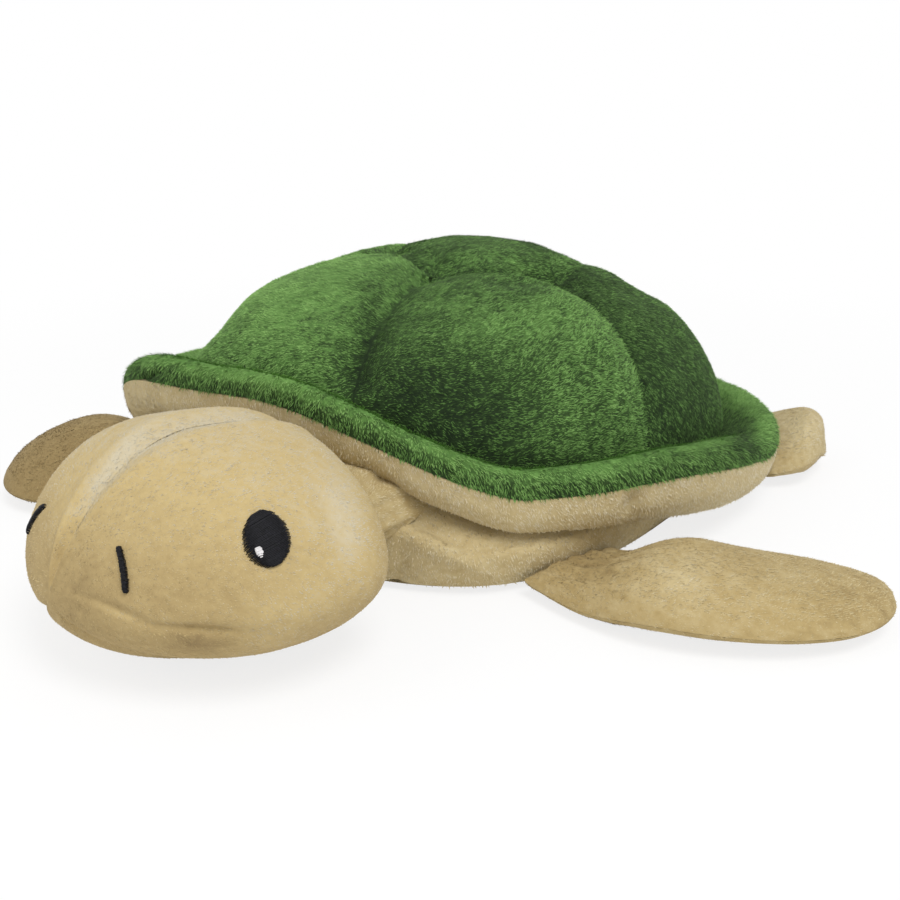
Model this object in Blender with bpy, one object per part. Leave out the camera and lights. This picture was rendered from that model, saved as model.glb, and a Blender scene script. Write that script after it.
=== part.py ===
"""Plush sea turtle lying on its belly, built from its sewn panels and stuffing.

Metres, +Z up. The turtle faces -Y and its left side is +X. The origin is on the floor under
the middle of the shell. Every fabric panel is a thin closed shell of even thickness, and each
stuffed form has its own filling inside the panels.
"""
import math

import bpy
from mathutils import Matrix, Vector

# Fabric and the gaps between layers
fabric = 0.0024
layer_gap = 0.0005
seam_gap = 0.0004
seam_sink = 0.0042
seam_spread = 0.0085

# Shell outline: the rim's outer edge and the foot of the dome
rim_half_width = 0.1180
rim_front_length = 0.1210
rim_rear_length = 0.0920
rim_front_squareness = 2.2
rim_rear_squareness = 2.3
dome_left_width = 0.0980
dome_right_width = 0.0890
dome_front_length = 0.1050
dome_rear_length = 0.0760
dome_front_squareness = 2.6
dome_rear_squareness = 2.2
foot_seam_turns = tuple(math.radians(turn) for turn in (-75.0, -21.0, 50.0, 124.0, 200.0))
crown_seam_turns = tuple(math.radians(turn) for turn in (-76.0, -9.0, 62.0, 134.0, 203.0))
dome_top_height = 0.0880
dome_fullness = 2.12
crown_radius = 0.042
crown_left_shift = 0.0040
crown_back_shift = 0.0060
corner_sink = 0.0040
corner_spread = 0.0130

# Rim roll, measured from the seam on its outer edge
rim_rear_height = 0.0210
rim_side_rise = 0.0110
rim_front_rise = 0.0230
rim_crest_rise = 0.0060
rim_shoulder_rise = 0.0050
rim_valley_rise = 0.0030
rim_lip_drop = 0.0055
rim_keel_drop = 0.0080
rim_side_keel_drop = 0.0040
rim_root_drop = 0.0070
rim_tuck = 0.0040
rim_lobe_reach = 0.0065
rim_lobe_lift = 0.0105
rim_lobe_turn = math.radians(-120.0)
rim_lobe_spread = math.radians(14.0)
rim_sag_drop = 0.0060
rim_sag_turn = math.radians(-4.0)
rim_sag_spread = math.radians(26.0)
rim_notch_depth = 0.0040
rim_notch_turn = math.radians(-92.0)
rim_notch_spread = math.radians(22.0)

# Body under the shell
body_left_width = 0.0960
body_right_width = 0.0850
body_front_length = 0.1070
body_rear_length = 0.0880
body_back_shift = -0.0100
body_front_squareness = 3.0
body_rear_squareness = 2.6
belly_seam_inset = 0.0030
belly_seam_height = 0.0027
belly_flat_inset = 0.0120

# Head
head_half_width = 0.0550
head_half_length = 0.0437
head_top = 0.0348
head_bottom = 0.0287
head_height = 0.0299
head_side_shift = 0.0176
head_turn = math.radians(-12.8)
head_pitch = math.radians(-4.2)
head_front_fullness = 1.84
head_back_fullness = 2.84
head_section_squareness = 1.87
nose_droop = 0.0075
nose_droop_power = 2.2
chin_seam_turn = math.radians(145.0)

# Neck cushion: a stuffed ball between the head and the chest
neck_radius = 0.0145
neck_behind_head = 0.0348
neck_nest = 0.0009
neck_play = 0.0009
neck_mouth_radius = 0.0130

# Eyes and nostrils, embroidered
eye_half_height = 0.0074
eye_half_width = 0.0062
eye_rise = 0.0013
eye_along_share = 0.440
left_eye_turn = math.radians(61.0)
right_eye_turn = math.radians(67.0)
glint_radius = 0.0013
glint_rise = 0.0007
glint_along_share = 0.425
glint_lower_turn = math.radians(4.5)
nostril_half_length = 0.0062
nostril_half_width = 0.0011
nostril_rise = 0.0009
nostril_along_share = 0.195
nostril_turn = math.radians(52.0)
nostril_tilt = math.radians(-6.0)

# Flippers
root_radius = 0.0042
root_height = 0.0060
front_root_nest = 0.0010
hind_root_nest = 0.0004
floor_clearance = 0.0012
least_half_width = 0.0015
least_half_thickness = 0.0006
left_front_flipper_length = 0.0970
right_front_flipper_length = 0.0800
front_flipper_half_width = 0.0260
front_flipper_root_half_width = 0.0140
front_flipper_thickness = 0.0205
left_hind_flipper_length = 0.0410
right_hind_flipper_length = 0.0500
hind_flipper_half_width = 0.0280
hind_flipper_root_half_width = 0.0130
left_hind_flipper_thickness = 0.0220
right_hind_flipper_thickness = 0.0175
left_front_bend = math.radians(92.0)
right_front_bend = math.radians(-158.0)
hind_bend = math.radians(-22.0)
left_front_root_turn = math.radians(-32.7)
right_front_root_turn = math.radians(-27.0)
hind_root_turn = math.radians(40.0)

# Colours
leaf_green = (0.080, 0.205, 0.052)
deep_green = (0.062, 0.170, 0.040)
sand = (0.690, 0.520, 0.300)
pale_sand = (0.740, 0.600, 0.390)
thread_black = (0.012, 0.012, 0.014)
thread_white = (0.85, 0.85, 0.83)
wadding_white = (0.82, 0.81, 0.78)

full_turn = 2.0 * math.pi
quarter_turn = 0.5 * math.pi
front_turn = -quarter_turn
panel_count = 5
column_shares = (0.0, 0.08, 0.24, 0.41, 0.59, 0.76, 0.92)
panel_names = ("front_left", "rear_left", "rear", "rear_right", "front_right")
nudge = 0.01


def clear_scene():
    for old in list(bpy.data.objects):
        bpy.data.objects.remove(old, do_unlink=True)


def material(name, colour, roughness):
    found = bpy.data.materials.get(name)
    if found:
        return found
    made = bpy.data.materials.new(name)
    made.use_nodes = True
    shader = made.node_tree.nodes["Principled BSDF"]
    shader.inputs["Base Color"].default_value = (*colour, 1.0)
    shader.inputs["Roughness"].default_value = roughness
    shader.inputs["Metallic"].default_value = 0.0
    return made


def add_object(name, points, triangles, finish, smooth=True):
    mesh = bpy.data.meshes.new(name)
    mesh.from_pydata([tuple(point) for point in points], [], triangles)
    mesh.validate()
    if smooth:
        mesh.shade_smooth()
    mesh.materials.append(finish)
    made = bpy.data.objects.new(name, mesh)
    bpy.context.collection.objects.link(made)
    return made


def strip(first, second, closed):
    """Triangles between two rows of point numbers."""
    count = len(first)
    triangles = []
    for i in range(count if closed else count - 1):
        j = (i + 1) % count
        triangles.append((first[i], first[j], second[j]))
        triangles.append((first[i], second[j], second[i]))
    return triangles


def fan(row, centre, closed):
    count = len(row)
    return [(row[i], row[(i + 1) % count], centre) for i in range(count if closed else count - 1)]


def flip(triangles):
    return [(a, c, b) for a, b, c in triangles]


def panel(name, outer, inner, finish, closed=False, pole=None):
    """A thin closed shell between two grids of points, whose rows run along the panel.

    closed joins each row's ends. pole is a pair of points, outer and inner, that close the
    last row.
    """
    width = len(outer[0])
    points = [point for row in outer for point in row] + [point for row in inner for point in row]
    inner_start = width * len(outer)
    out_rows = [[r * width + c for c in range(width)] for r in range(len(outer))]
    in_rows = [[inner_start + r * width + c for c in range(width)] for r in range(len(inner))]
    triangles = []
    for lower, upper in zip(out_rows, out_rows[1:]):
        triangles += strip(lower, upper, closed)
    for lower, upper in zip(in_rows, in_rows[1:]):
        triangles += flip(strip(lower, upper, closed))
    triangles += flip(strip(out_rows[0], in_rows[0], closed))
    if pole:
        points += list(pole)
        triangles += fan(out_rows[-1], len(points) - 2, closed)
        triangles += flip(fan(in_rows[-1], len(points) - 1, closed))
        if not closed:
            raise ValueError("a pole closes only a ring")
    else:
        triangles += strip(out_rows[-1], in_rows[-1], closed)
    if not closed:
        for column, turned in ((0, False), (width - 1, True)):
            edge_out = [row[column] for row in out_rows]
            edge_in = [row[column] for row in in_rows]
            side = strip(edge_out, edge_in, False)
            triangles += flip(side) if turned else side
    return add_object(name, points, triangles, finish)


def solid(name, rows, first_pole, last_pole, finish):
    """A closed form from rings of points between two end points."""
    width = len(rows[0])
    points = [point for row in rows for point in row] + [first_pole, last_pole]
    numbers = [[r * width + c for c in range(width)] for r in range(len(rows))]
    triangles = flip(fan(numbers[0], len(points) - 2, True))
    for lower, upper in zip(numbers, numbers[1:]):
        triangles += strip(lower, upper, True)
    triangles += fan(numbers[-1], len(points) - 1, True)
    return add_object(name, points, triangles, finish)


def ring(name, sections, finish):
    """A closed ring from one closed section for each column."""
    height = len(sections[0])
    points = [point for section in sections for point in section]
    triangles = []
    for i in range(len(sections)):
        j = (i + 1) % len(sections)
        here = [i * height + k for k in range(height)]
        there = [j * height + k for k in range(height)]
        triangles += strip(here, there, True)
    return add_object(name, points, triangles, finish)


def mix(first, second, share):
    return first * (1.0 - share) + second * share


def smooth_step(value):
    value = min(1.0, max(0.0, value))
    return value * value * (3.0 - 2.0 * value)


def oval(half_width, front, rear, turn):
    """A point on a rounded oval in the floor plane. front and rear are a length and a squareness."""
    across, along = math.cos(turn), math.sin(turn)
    length, squareness = front if along < 0.0 else rear
    reach = (abs(across) ** squareness + abs(along) ** squareness) ** (-1.0 / squareness)
    return Vector((half_width * across * reach, length * along * reach, 0.0))


def rim_edge(turn):
    return oval(rim_half_width, (rim_front_length, rim_front_squareness),
                (rim_rear_length, rim_rear_squareness), turn)


def dome_foot(turn):
    width = dome_left_width if math.cos(turn) > 0.0 else dome_right_width
    return oval(width, (dome_front_length, dome_front_squareness),
                (dome_rear_length, dome_rear_squareness), turn)


def shell_places():
    """Places around the shell: whole numbers lie on the seams between its five side panels."""
    return [number + share for number in range(panel_count) for share in column_shares]


def place_turn(place, seam_turns):
    """The turn of a place around the shell, between the turns of the seams beside it."""
    lap, number = divmod(int(place), panel_count)
    ends = seam_turns + (seam_turns[0] + full_turn,)
    return mix(ends[number], ends[number + 1], place % 1.0) + lap * full_turn


def shell_columns():
    """The turns of the shell's columns at the foot of the dome."""
    return [place_turn(place, foot_seam_turns) for place in shell_places()]


def hollow(distance, sink, spread):
    """Depth of a soft hollow at a distance from its middle."""
    return sink * math.exp(-((distance / spread) ** 2))


def turn_away(turn, other):
    """The way from another turn, between half a turn back and half a turn on."""
    return (turn - other + math.pi) % full_turn - math.pi


side_rise_start_share = -0.25
side_rise_end_share = 0.50
front_rise_start_share = 0.74
front_rise_power = 1.5


def side_share(turn):
    """0 behind, rising to 1 at the sides of the shell and in front."""
    forward = -math.sin(turn)
    return smooth_step((forward - side_rise_start_share) / (side_rise_end_share - side_rise_start_share))


def rim_height(turn):
    """Height of the seam on the rim's outer edge: low behind, and lifted in front by the head."""
    front = max(0.0, -math.sin(turn) - front_rise_start_share) / (1.0 - front_rise_start_share)
    lobe_lift = hollow(turn_away(turn, rim_lobe_turn), rim_lobe_lift, rim_lobe_spread)
    front_lift = rim_front_rise * front ** front_rise_power
    return rim_rear_height + rim_side_rise * side_share(turn) + front_lift + lobe_lift


# The dome of the shell

side_climb_shares = (0.0, 0.16, 0.40, 0.64, 0.84, 1.0)
crown_climb_shares = (1.0, 1.16, 1.45, 1.78)
foot_climb_share = 0.25
crown_round_share = 0.93
crown_straight_share = 0.5


def dome_turn(place, climb):
    """The turn of a place at a climb: the seams lean between the foot and the top panel."""
    foot = place_turn(place, foot_seam_turns)
    return mix(foot, place_turn(place, crown_seam_turns), min(1.0, climb))


def crown_rise(place):
    """Where the edge of the top panel lies: a rounded pentagon between its five corners."""
    corner, turn = place_turn(int(place), crown_seam_turns), place_turn(place, crown_seam_turns)
    half_step = 0.5 * (place_turn(int(place) + 1, crown_seam_turns) - corner)
    straight = math.cos(half_step) / math.cos(turn - corner - half_step)
    reach = crown_radius * mix(straight, crown_round_share, crown_straight_share)
    reach += crown_left_shift * math.cos(turn) + crown_back_shift * math.sin(turn)
    return math.acos((reach / dome_foot(turn).length) ** (0.5 * dome_fullness))


def dome_surface(turn, rise):
    """The smooth dome. rise is an angle: 0 at the foot and a quarter turn at the top."""
    spread = math.cos(rise) ** (2.0 / dome_fullness) if rise < quarter_turn else 0.0
    lift = math.sin(rise) ** (2.0 / dome_fullness) if rise > 0.0 else 0.0
    foot = dome_foot(turn)
    base = rim_height(turn) + rim_valley_rise
    return Vector((foot.x * spread, foot.y * spread, base + (dome_top_height - base) * lift))


def dome_normal(turn, rise):
    low, high = max(0.0, rise - nudge), min(quarter_turn - nudge, rise + nudge)
    across = dome_surface(turn + nudge, rise) - dome_surface(turn - nudge, rise)
    up = dome_surface(turn, high) - dome_surface(turn, low)
    if rise < nudge:
        up = Vector((0.0, 0.0, 1.0))
    return across.cross(up).normalized()


def dome_point(place, climb, depth, aside=0.0):
    """A point of the dome. climb runs 0 to 1 over a side panel and 1 to 2 over the top panel."""
    edge = crown_rise(place)
    rise = edge * climb if climb <= 1.0 else edge + (quarter_turn - edge) * (climb - 1.0)
    turn = dome_turn(place, climb)
    point = dome_surface(turn, rise)
    from_seam = turn - dome_turn(round(place), climb)
    across_distance = abs(from_seam) * math.hypot(point.x, point.y)
    edge_distance = (point - dome_surface(dome_turn(place, 1.0), edge)).length
    seam_distance = min(edge_distance, across_distance) if climb <= 1.0 else edge_distance
    sunk = hollow(seam_distance, seam_sink, seam_spread)
    sunk += hollow(math.hypot(edge_distance, across_distance), corner_sink, corner_spread)
    sunk *= smooth_step(climb / foot_climb_share)
    sideways = Vector((-math.sin(turn), math.cos(turn), 0.0))
    return point - dome_normal(turn, rise) * (depth + sunk) + sideways * aside


def build_dome(side_plush, crown_plush):
    trim = 0.5 * seam_gap
    columns = len(column_shares)
    asides = [trim] + [0.0] * (columns - 1) + [-trim]
    side_climbs = side_climb_shares[:-1] + (1.0 - trim / dome_left_width,)
    crown_climbs = (1.0 + 2.0 * trim / crown_radius,) + crown_climb_shares[1:]
    for number, name in enumerate(panel_names):
        own = [number + share for share in column_shares + (1.0,)]
        outer, inner = [[[dome_point(place, climb, depth, aside) for place, aside in zip(own, asides)]
                         for climb in side_climbs] for depth in (0.0, fabric)]
        panel(name + "_shell_panel", outer, inner, side_plush)
    places = shell_places()
    outer, inner = [[[dome_point(place, climb, depth) for place in places] for climb in crown_climbs]
                    for depth in (0.0, fabric)]
    top = dome_surface(0.0, quarter_turn)
    under = top - Vector((0.0, 0.0, fabric))
    panel("top_shell_panel", outer, inner, crown_plush, closed=True, pole=(top, under))


# The padded rim around the shell

upper_in_shares = (1.0, 0.72, 0.42, 0.16, 0.01, 0.0)
lower_in_shares = (0.0, 0.06, 0.30, 0.68, 1.0)
valley_crest_share = 0.7
crest_shoulder_share = 0.5
edge_rise_share = 0.45
lip_keel_share = 0.5
keel_root_share = 0.3


def rim_frame(turn):
    """The outer seam point, the way in to the dome, and the distance to it."""
    outer = rim_edge(turn)
    moved = hollow(turn_away(turn, rim_lobe_turn), rim_lobe_reach, rim_lobe_spread)
    moved -= hollow(turn_away(turn, rim_notch_turn), rim_notch_depth, rim_notch_spread)
    outer += outer.normalized() * moved
    inward = dome_foot(turn) - outer
    return outer + Vector((0.0, 0.0, rim_height(turn))), inward.normalized(), inward.length


def rim_outline(turn, reach):
    """Upper and lower outlines of the rim's section, as (inward, up) pairs."""
    keel = rim_keel_drop + rim_side_keel_drop * side_share(turn)
    keel += hollow(turn_away(turn, rim_sag_turn), rim_sag_drop, rim_sag_spread)
    rises = (rim_valley_rise, mix(rim_valley_rise, rim_crest_rise, valley_crest_share),
             rim_crest_rise, mix(rim_crest_rise, rim_shoulder_rise, crest_shoulder_share),
             rim_shoulder_rise * edge_rise_share, 0.0)
    lip = rim_lip_drop + lip_keel_share * (keel - rim_keel_drop)
    drops = (0.0, -lip, -keel, -mix(keel, rim_root_drop, keel_root_share), -rim_root_drop)
    upper = [(share * reach, rise) for share, rise in zip(upper_in_shares, rises)]
    lower = [(share * (reach + rim_tuck), drop) for share, drop in zip(lower_in_shares, drops)]
    upper[0] = (reach - layer_gap, rises[0])
    lower[-1] = (reach + rim_tuck - layer_gap, drops[-1])
    return upper, lower


def inset_line(line, distance):
    """Move a line of (inward, up) pairs sideways by a distance."""
    moved = []
    for i, (a, b) in enumerate(line):
        before = line[max(0, i - 1)]
        after = line[min(len(line) - 1, i + 1)]
        run, rise = after[0] - before[0], after[1] - before[1]
        length = math.hypot(run, rise)
        moved.append((a - rise / length * distance, b + run / length * distance))
    return moved


def build_rim(green, beige, white):
    trim = 0.5 * seam_gap
    deep = fabric + 2.0 * layer_gap
    top_sections, under_sections, filling_sections = [], [], []
    for turn in shell_columns():
        seam, inward, reach = rim_frame(turn)
        upper, lower = rim_outline(turn, reach)
        upper_inner = inset_line(upper, fabric)
        upper_inner[0] = (upper[0][0], upper[0][1] - fabric)
        upper_inner[-1] = (fabric, trim)
        lower_inner = inset_line(lower, fabric)
        lower_inner[0] = (fabric, -trim)
        lower_inner[-1] = (lower[-1][0], lower[-1][1] + fabric)
        upper_fill = inset_line(upper, deep)
        upper_fill[0] = (upper[0][0], upper[0][1] - deep)
        lower_fill = inset_line(lower, deep)
        lower_fill[-1] = (lower[-1][0], lower[-1][1] + deep)
        outlines = (upper[:-1] + [(0.0, trim)] + upper_inner[::-1],
                    [(0.0, -trim)] + lower[1:] + lower_inner[::-1],
                    upper_fill[:-1] + [(deep, 0.0)] + lower_fill[1:])
        for sections, outline in zip((top_sections, under_sections, filling_sections), outlines):
            sections.append([seam + inward * a + Vector((0.0, 0.0, b)) for a, b in outline])
    ring("rim_top", top_sections, green)
    ring("rim_underside", under_sections, beige)
    ring("rim_wadding", filling_sections, white)


# The body under the shell

upper_body_share = 0.4
low_body_share = 0.6
bulge_height_share = 0.55
low_inset_share = 0.3
belly_ring_share = 0.5


def body_outline(turn, inset):
    width = body_left_width if math.cos(turn) > 0.0 else body_right_width
    edge = oval(width - inset, (body_front_length - inset, body_front_squareness),
                (body_rear_length - inset, body_rear_squareness), turn)
    return edge + Vector((0.0, body_back_shift, 0.0))


def body_profile(turn, inset):
    """Side of the body from the belly seam up to the rim's root, inset by a depth."""
    seam, inward, reach = rim_frame(turn)
    root = seam + inward * (reach + rim_tuck + inset)
    root.z -= rim_root_drop + layer_gap
    belly_edge = body_outline(turn, inset + belly_seam_inset)
    belly_edge.z = belly_seam_height + inset * low_inset_share
    bulge = body_outline(turn, inset)
    bulge.z = mix(belly_seam_height, root.z, bulge_height_share)
    low = body_outline(turn, inset + low_inset_share * belly_seam_inset)
    low.z = mix(bulge.z, belly_seam_height, low_body_share)
    return [belly_edge, low, bulge, mix(bulge, root, upper_body_share), root]


def build_body(beige):
    turns = shell_columns()
    trim = 0.5 * seam_gap
    rear_turn = front_turn + full_turn
    ordered = sorted((turn - front_turn) % full_turn + front_turn for turn in turns)
    left_turns = ([front_turn] + [turn for turn in ordered if turn < quarter_turn - nudge]
                  + [quarter_turn])
    right_turns = ([quarter_turn] + [turn for turn in ordered if turn > quarter_turn + nudge]
                   + [rear_turn])
    for name, own in (("left_body_panel", left_turns), ("right_body_panel", right_turns)):
        asides = [trim] + [0.0] * (len(own) - 2) + [-trim]
        grids = []
        for depth in (0.0, fabric):
            columns = []
            for turn, aside in zip(own, asides):
                sideways = Vector((-math.sin(turn), math.cos(turn), 0.0)) * aside
                line = [point + sideways for point in body_profile(turn, depth)]
                line[0].z += trim
                columns.append(line)
            grids.append([list(row) for row in zip(*columns)])
        panel(name, grids[0], grids[1], beige)
    # the belly is a shallow dish that lies flat on the floor
    middle = Vector((0.0, body_back_shift, 0.0))
    grids = []
    for depth in (0.0, fabric):
        lift = Vector((0.0, 0.0, depth))
        edge = [body_profile(turn, depth)[0] - Vector((0.0, 0.0, trim)) for turn in turns]
        flat = [body_outline(turn, belly_flat_inset + 0.5 * depth) + lift for turn in turns]
        inside = [mix(point, middle + lift, belly_ring_share) for point in flat]
        grids.append([row[::-1] for row in (edge, flat, inside)])
    poles = (middle, middle + Vector((0.0, 0.0, fabric)))
    panel("belly_panel", grids[0], grids[1], beige, closed=True, pole=poles)


def build_body_stuffing(white):
    """One filling for the dome and the body: rings from the belly up to the top of the dome."""
    turns = shell_columns()
    depth = fabric + layer_gap
    bottom = Vector((0.0, body_back_shift, depth))
    lift = Vector((0.0, 0.0, depth))
    flat = [body_outline(turn, belly_flat_inset + 0.5 * depth) + lift for turn in turns]
    rows = [[mix(point, bottom, belly_ring_share) for point in flat], flat]
    rows += [list(row) for row in zip(*[body_profile(turn, depth) for turn in turns])]
    rows += [[dome_point(place, climb, depth) for place in shell_places()]
             for climb in side_climb_shares + crown_climb_shares[1:]]
    top = dome_surface(0.0, quarter_turn) - lift
    solid("body_stuffing", rows, bottom, top, white)


# The head

head_along_shares = (0.010, 0.045, 0.10, 0.17, 0.25, 0.35, 0.46, 0.57, 0.67, 0.76)
side_turn_shares = (0.0, 0.10, 0.28, 0.46, 0.64, 0.82, 1.0)
chin_turn_shares = (0.0, 0.20, 0.50, 0.80, 1.0)
mouth_shares = (1.0, 0.7, 0.35)
nose_fade_share = 0.14
head_seam_depth_share = 0.32


def head_placement():
    """The head stands clear of the chest by the neck cushion between them."""
    chest = body_back_shift - body_front_length
    forward = layer_gap + neck_radius - neck_nest
    forward += neck_behind_head * math.cos(head_turn) * math.cos(head_pitch)
    place = Matrix.Translation(Vector((head_side_shift, chest - forward, head_height)))
    return place @ Matrix.Rotation(head_turn, 4, "Z") @ Matrix.Rotation(head_pitch, 4, "X")


def head_local(along, turn, depth):
    """A point of the head in its own frame.

    along runs 0 at the nose to 1 at the back; turn runs from the top over the left side.
    """
    station = -math.cos(math.pi * along)
    fullness = head_front_fullness if station < 0.0 else head_back_fullness
    girth = max(0.0, 1.0 - abs(station) ** fullness) ** (1.0 / fullness)
    across, up = math.sin(turn), math.cos(turn)
    power = head_section_squareness
    reach = (abs(across) ** power + abs(up) ** power) ** (-1.0 / power)
    tall = head_top if up > 0.0 else head_bottom
    droop = nose_droop * max(0.0, -station) ** nose_droop_power
    return Vector(((head_half_width - depth) * girth * across * reach,
                   (head_half_length - depth) * station,
                   (tall - depth) * girth * up * reach - droop))


def head_point(along, turn, depth, aside=0.0):
    """A point of the sewn head, sunk along the seam over its middle and those beside the chin."""
    seams = (0.0, chin_seam_turn, full_turn - chin_seam_turn, full_turn)
    distance = min(abs(turn - seam) for seam in seams) * head_half_width
    sunk = head_seam_depth_share * hollow(distance, seam_sink, seam_spread)
    sunk *= smooth_step(along / nose_fade_share)
    point = head_local(along, turn, depth + sunk)
    point += Vector((math.cos(turn), 0.0, -math.sin(turn))) * aside
    return head_placement() @ point


def neck_centre():
    return head_placement() @ Vector((0.0, neck_behind_head, 0.0))


def build_head(beige, white):
    trim = 0.5 * seam_gap
    mirrored_shares = tuple(1.0 - share for share in reversed(side_turn_shares))
    groups = (("left_head_panel", 0.0, chin_seam_turn, side_turn_shares),
              ("chin_panel", chin_seam_turn, full_turn - chin_seam_turn, chin_turn_shares),
              ("right_head_panel", full_turn - chin_seam_turn, full_turn, mirrored_shares))
    all_turns = []
    for name, start, end, shares in groups:
        turns = [mix(start, end, share) for share in shares]
        all_turns += turns[:-1]
        asides = [trim] + [0.0] * (len(turns) - 2) + [-trim]
        outer, inner = [[[head_point(along, turn, depth, aside) for turn, aside in zip(turns, asides)]
                         for along in head_along_shares] for depth in (0.0, fabric)]
        panel(name, outer, inner, beige)
    # the filling has a round hollow at the back for the neck cushion
    depth = fabric + layer_gap
    rows = [[head_point(along, turn, depth) for turn in all_turns] for along in head_along_shares]
    place = head_placement().to_3x3()
    left, backward, upward = place.col[0], place.col[1], place.col[2]
    room = neck_radius + neck_play
    mouth = math.asin(neck_mouth_radius / room)
    centre = neck_centre()
    for share in mouth_shares:
        angle = mouth * share
        flat, ahead = room * math.sin(angle), room * math.cos(angle)
        rows.append([centre - backward * ahead + (left * math.sin(turn) + upward * math.cos(turn)) * flat
                     for turn in all_turns])
    nose = head_placement() @ head_local(0.0, 0.0, depth)
    solid("head_stuffing", rows, nose, centre - backward * room, white)


def build_neck(beige):
    centre = neck_centre()
    latitudes, meridians = 9, 16
    rows = []
    for number in range(1, latitudes):
        angle = math.pi * number / latitudes
        flat, drop = neck_radius * math.sin(angle), neck_radius * math.cos(angle)
        turns = [full_turn * k / meridians for k in range(meridians)]
        rows.append([centre + Vector((flat * math.cos(turn), flat * math.sin(turn), -drop))
                     for turn in turns])
    reach = Vector((0.0, 0.0, neck_radius))
    solid("neck_cushion", rows, centre - reach, centre + reach, beige)


# Embroidery on the face

patch_reach_shares = (0.6, 1.0, 0.94, 0.6)
patch_rise_shares = (0.0, 0.0, 0.55, 1.0)


def head_rates(along, turn):
    """Steps of the head's surface for one unit of along and of turn, and its outward way."""
    down = head_local(along + nudge, turn, 0.0) - head_local(along - nudge, turn, 0.0)
    around = head_local(along, turn + nudge, 0.0) - head_local(along, turn - nudge, 0.0)
    return down / (2.0 * nudge), around / (2.0 * nudge), around.cross(down).normalized()


def stitched_patch(name, along, turn, half_long, half_wide, tilt, base, rise, sides, thread):
    """A low raised patch of satin stitches that follows the head's surface."""
    down, around, _ = head_rates(along, turn)
    on_left = turn < math.pi
    place = head_placement()

    def spot(share, angle, height):
        wide = half_wide * share * math.cos(angle)
        tall = half_long * share * math.sin(angle)
        across = wide * math.cos(tilt) - tall * math.sin(tilt)
        upward = wide * math.sin(tilt) + tall * math.cos(tilt)
        a = along + across / down.length
        t = turn - upward / around.length if on_left else turn + upward / around.length
        return place @ (head_local(a, t, 0.0) + head_rates(a, t)[2] * height)

    angles = [full_turn * k / sides for k in range(sides)]
    rows = [[spot(reach, angle, base + rise * lift) for angle in angles]
            for reach, lift in zip(patch_reach_shares, patch_rise_shares)]
    if not on_left:
        rows = [row[::-1] for row in rows]
    solid(name, rows, spot(0.0, 0.0, base), spot(0.0, 0.0, base + rise), thread)


def build_face(black, white):
    on_eye = 2.0 * layer_gap + eye_rise
    for side, eye_turn in (("left", left_eye_turn), ("right", right_eye_turn)):
        eye, glint, nostril = [turn if side == "left" else full_turn - turn
                               for turn in (eye_turn, eye_turn + glint_lower_turn, nostril_turn)]
        stitched_patch(side + "_eye", eye_along_share, eye, eye_half_height, eye_half_width, 0.0,
                       layer_gap, eye_rise, 16, black)
        stitched_patch(side + "_eye_glint", glint_along_share, glint, glint_radius, glint_radius, 0.0,
                       on_eye, glint_rise, 8, white)
        stitched_patch(side + "_nostril", nostril_along_share, nostril, nostril_half_length,
                       nostril_half_width, nostril_tilt, layer_gap, nostril_rise, 12, black)


# The flippers

flipper_shares = (0.0, 0.06, 0.16, 0.30, 0.46, 0.62, 0.76, 0.87, 0.94, 0.98, 0.997)
filling_shares = flipper_shares[:-2]
root_shares = (0.92, 0.55)
across_shares = (-1.0, -0.86, -0.5, 0.0, 0.5, 0.86, 1.0)
widest_share = 0.55
front_fullest_share = 0.42
hind_fullest_share = 0.95
tip_start_share = 0.74
tip_width_share = 0.80
tip_thickness_share = 0.62
level_share = 0.4
pillow_squareness = 2.3
pillow_softness = 0.62


def round_end(share, start):
    """1 along a flipper up to a start share, then a quarter oval down to 0 at its tip."""
    return math.sqrt(max(0.0, 1.0 - (max(0.0, share - start) / (1.0 - start)) ** 2))


def flipper_width(share, half_width, root_half_width):
    """Half width along a flipper: narrow root, broad blade, rounded tip."""
    blade = mix(root_half_width, half_width, smooth_step(share / widest_share))
    taper = mix(1.0, tip_width_share, smooth_step((share - widest_share) / (1.0 - widest_share)))
    return blade * taper * round_end(share, tip_start_share)


def flipper_fill(share, thickness, fullest_share):
    """Half thickness along a flipper before its tip is rounded, from the pinched root."""
    swell = mix(root_radius, 0.5 * thickness, smooth_step(share / fullest_share))
    beyond = smooth_step((share - fullest_share) / (1.0 - fullest_share))
    return swell * mix(1.0, tip_thickness_share, beyond)


def flipper_spine(root, heading, bend, length, share):
    """Point and sideways direction along an arc in the floor plane."""
    turned = heading + bend * share
    radius = length / bend
    point = root + Vector((math.sin(turned) - math.sin(heading),
                           math.cos(heading) - math.cos(turned), 0.0)) * radius
    return point, Vector((math.sin(turned), -math.cos(turned), 0.0))


def flank(turn, mirrored):
    """The body's outline at a turn on the left, or the right side's outline mirrored to the left."""
    if not mirrored:
        return body_outline(turn, 0.0)
    edge = body_outline(math.pi - turn, 0.0)
    return Vector((-edge.x, edge.y, 0.0))


def flipper_root(root_turn, root_nest, mirrored):
    """Middle of a flipper's hinge beside the body, and its heading away from the body."""
    tangent = flank(root_turn + nudge, mirrored) - flank(root_turn - nudge, mirrored)
    heading = math.atan2(tangent.y, tangent.x) - quarter_turn
    outward = Vector((math.cos(heading), math.sin(heading), 0.0))
    root = flank(root_turn, mirrored) + outward * (root_radius - root_nest)
    root.z = root_height
    return root, heading


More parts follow.
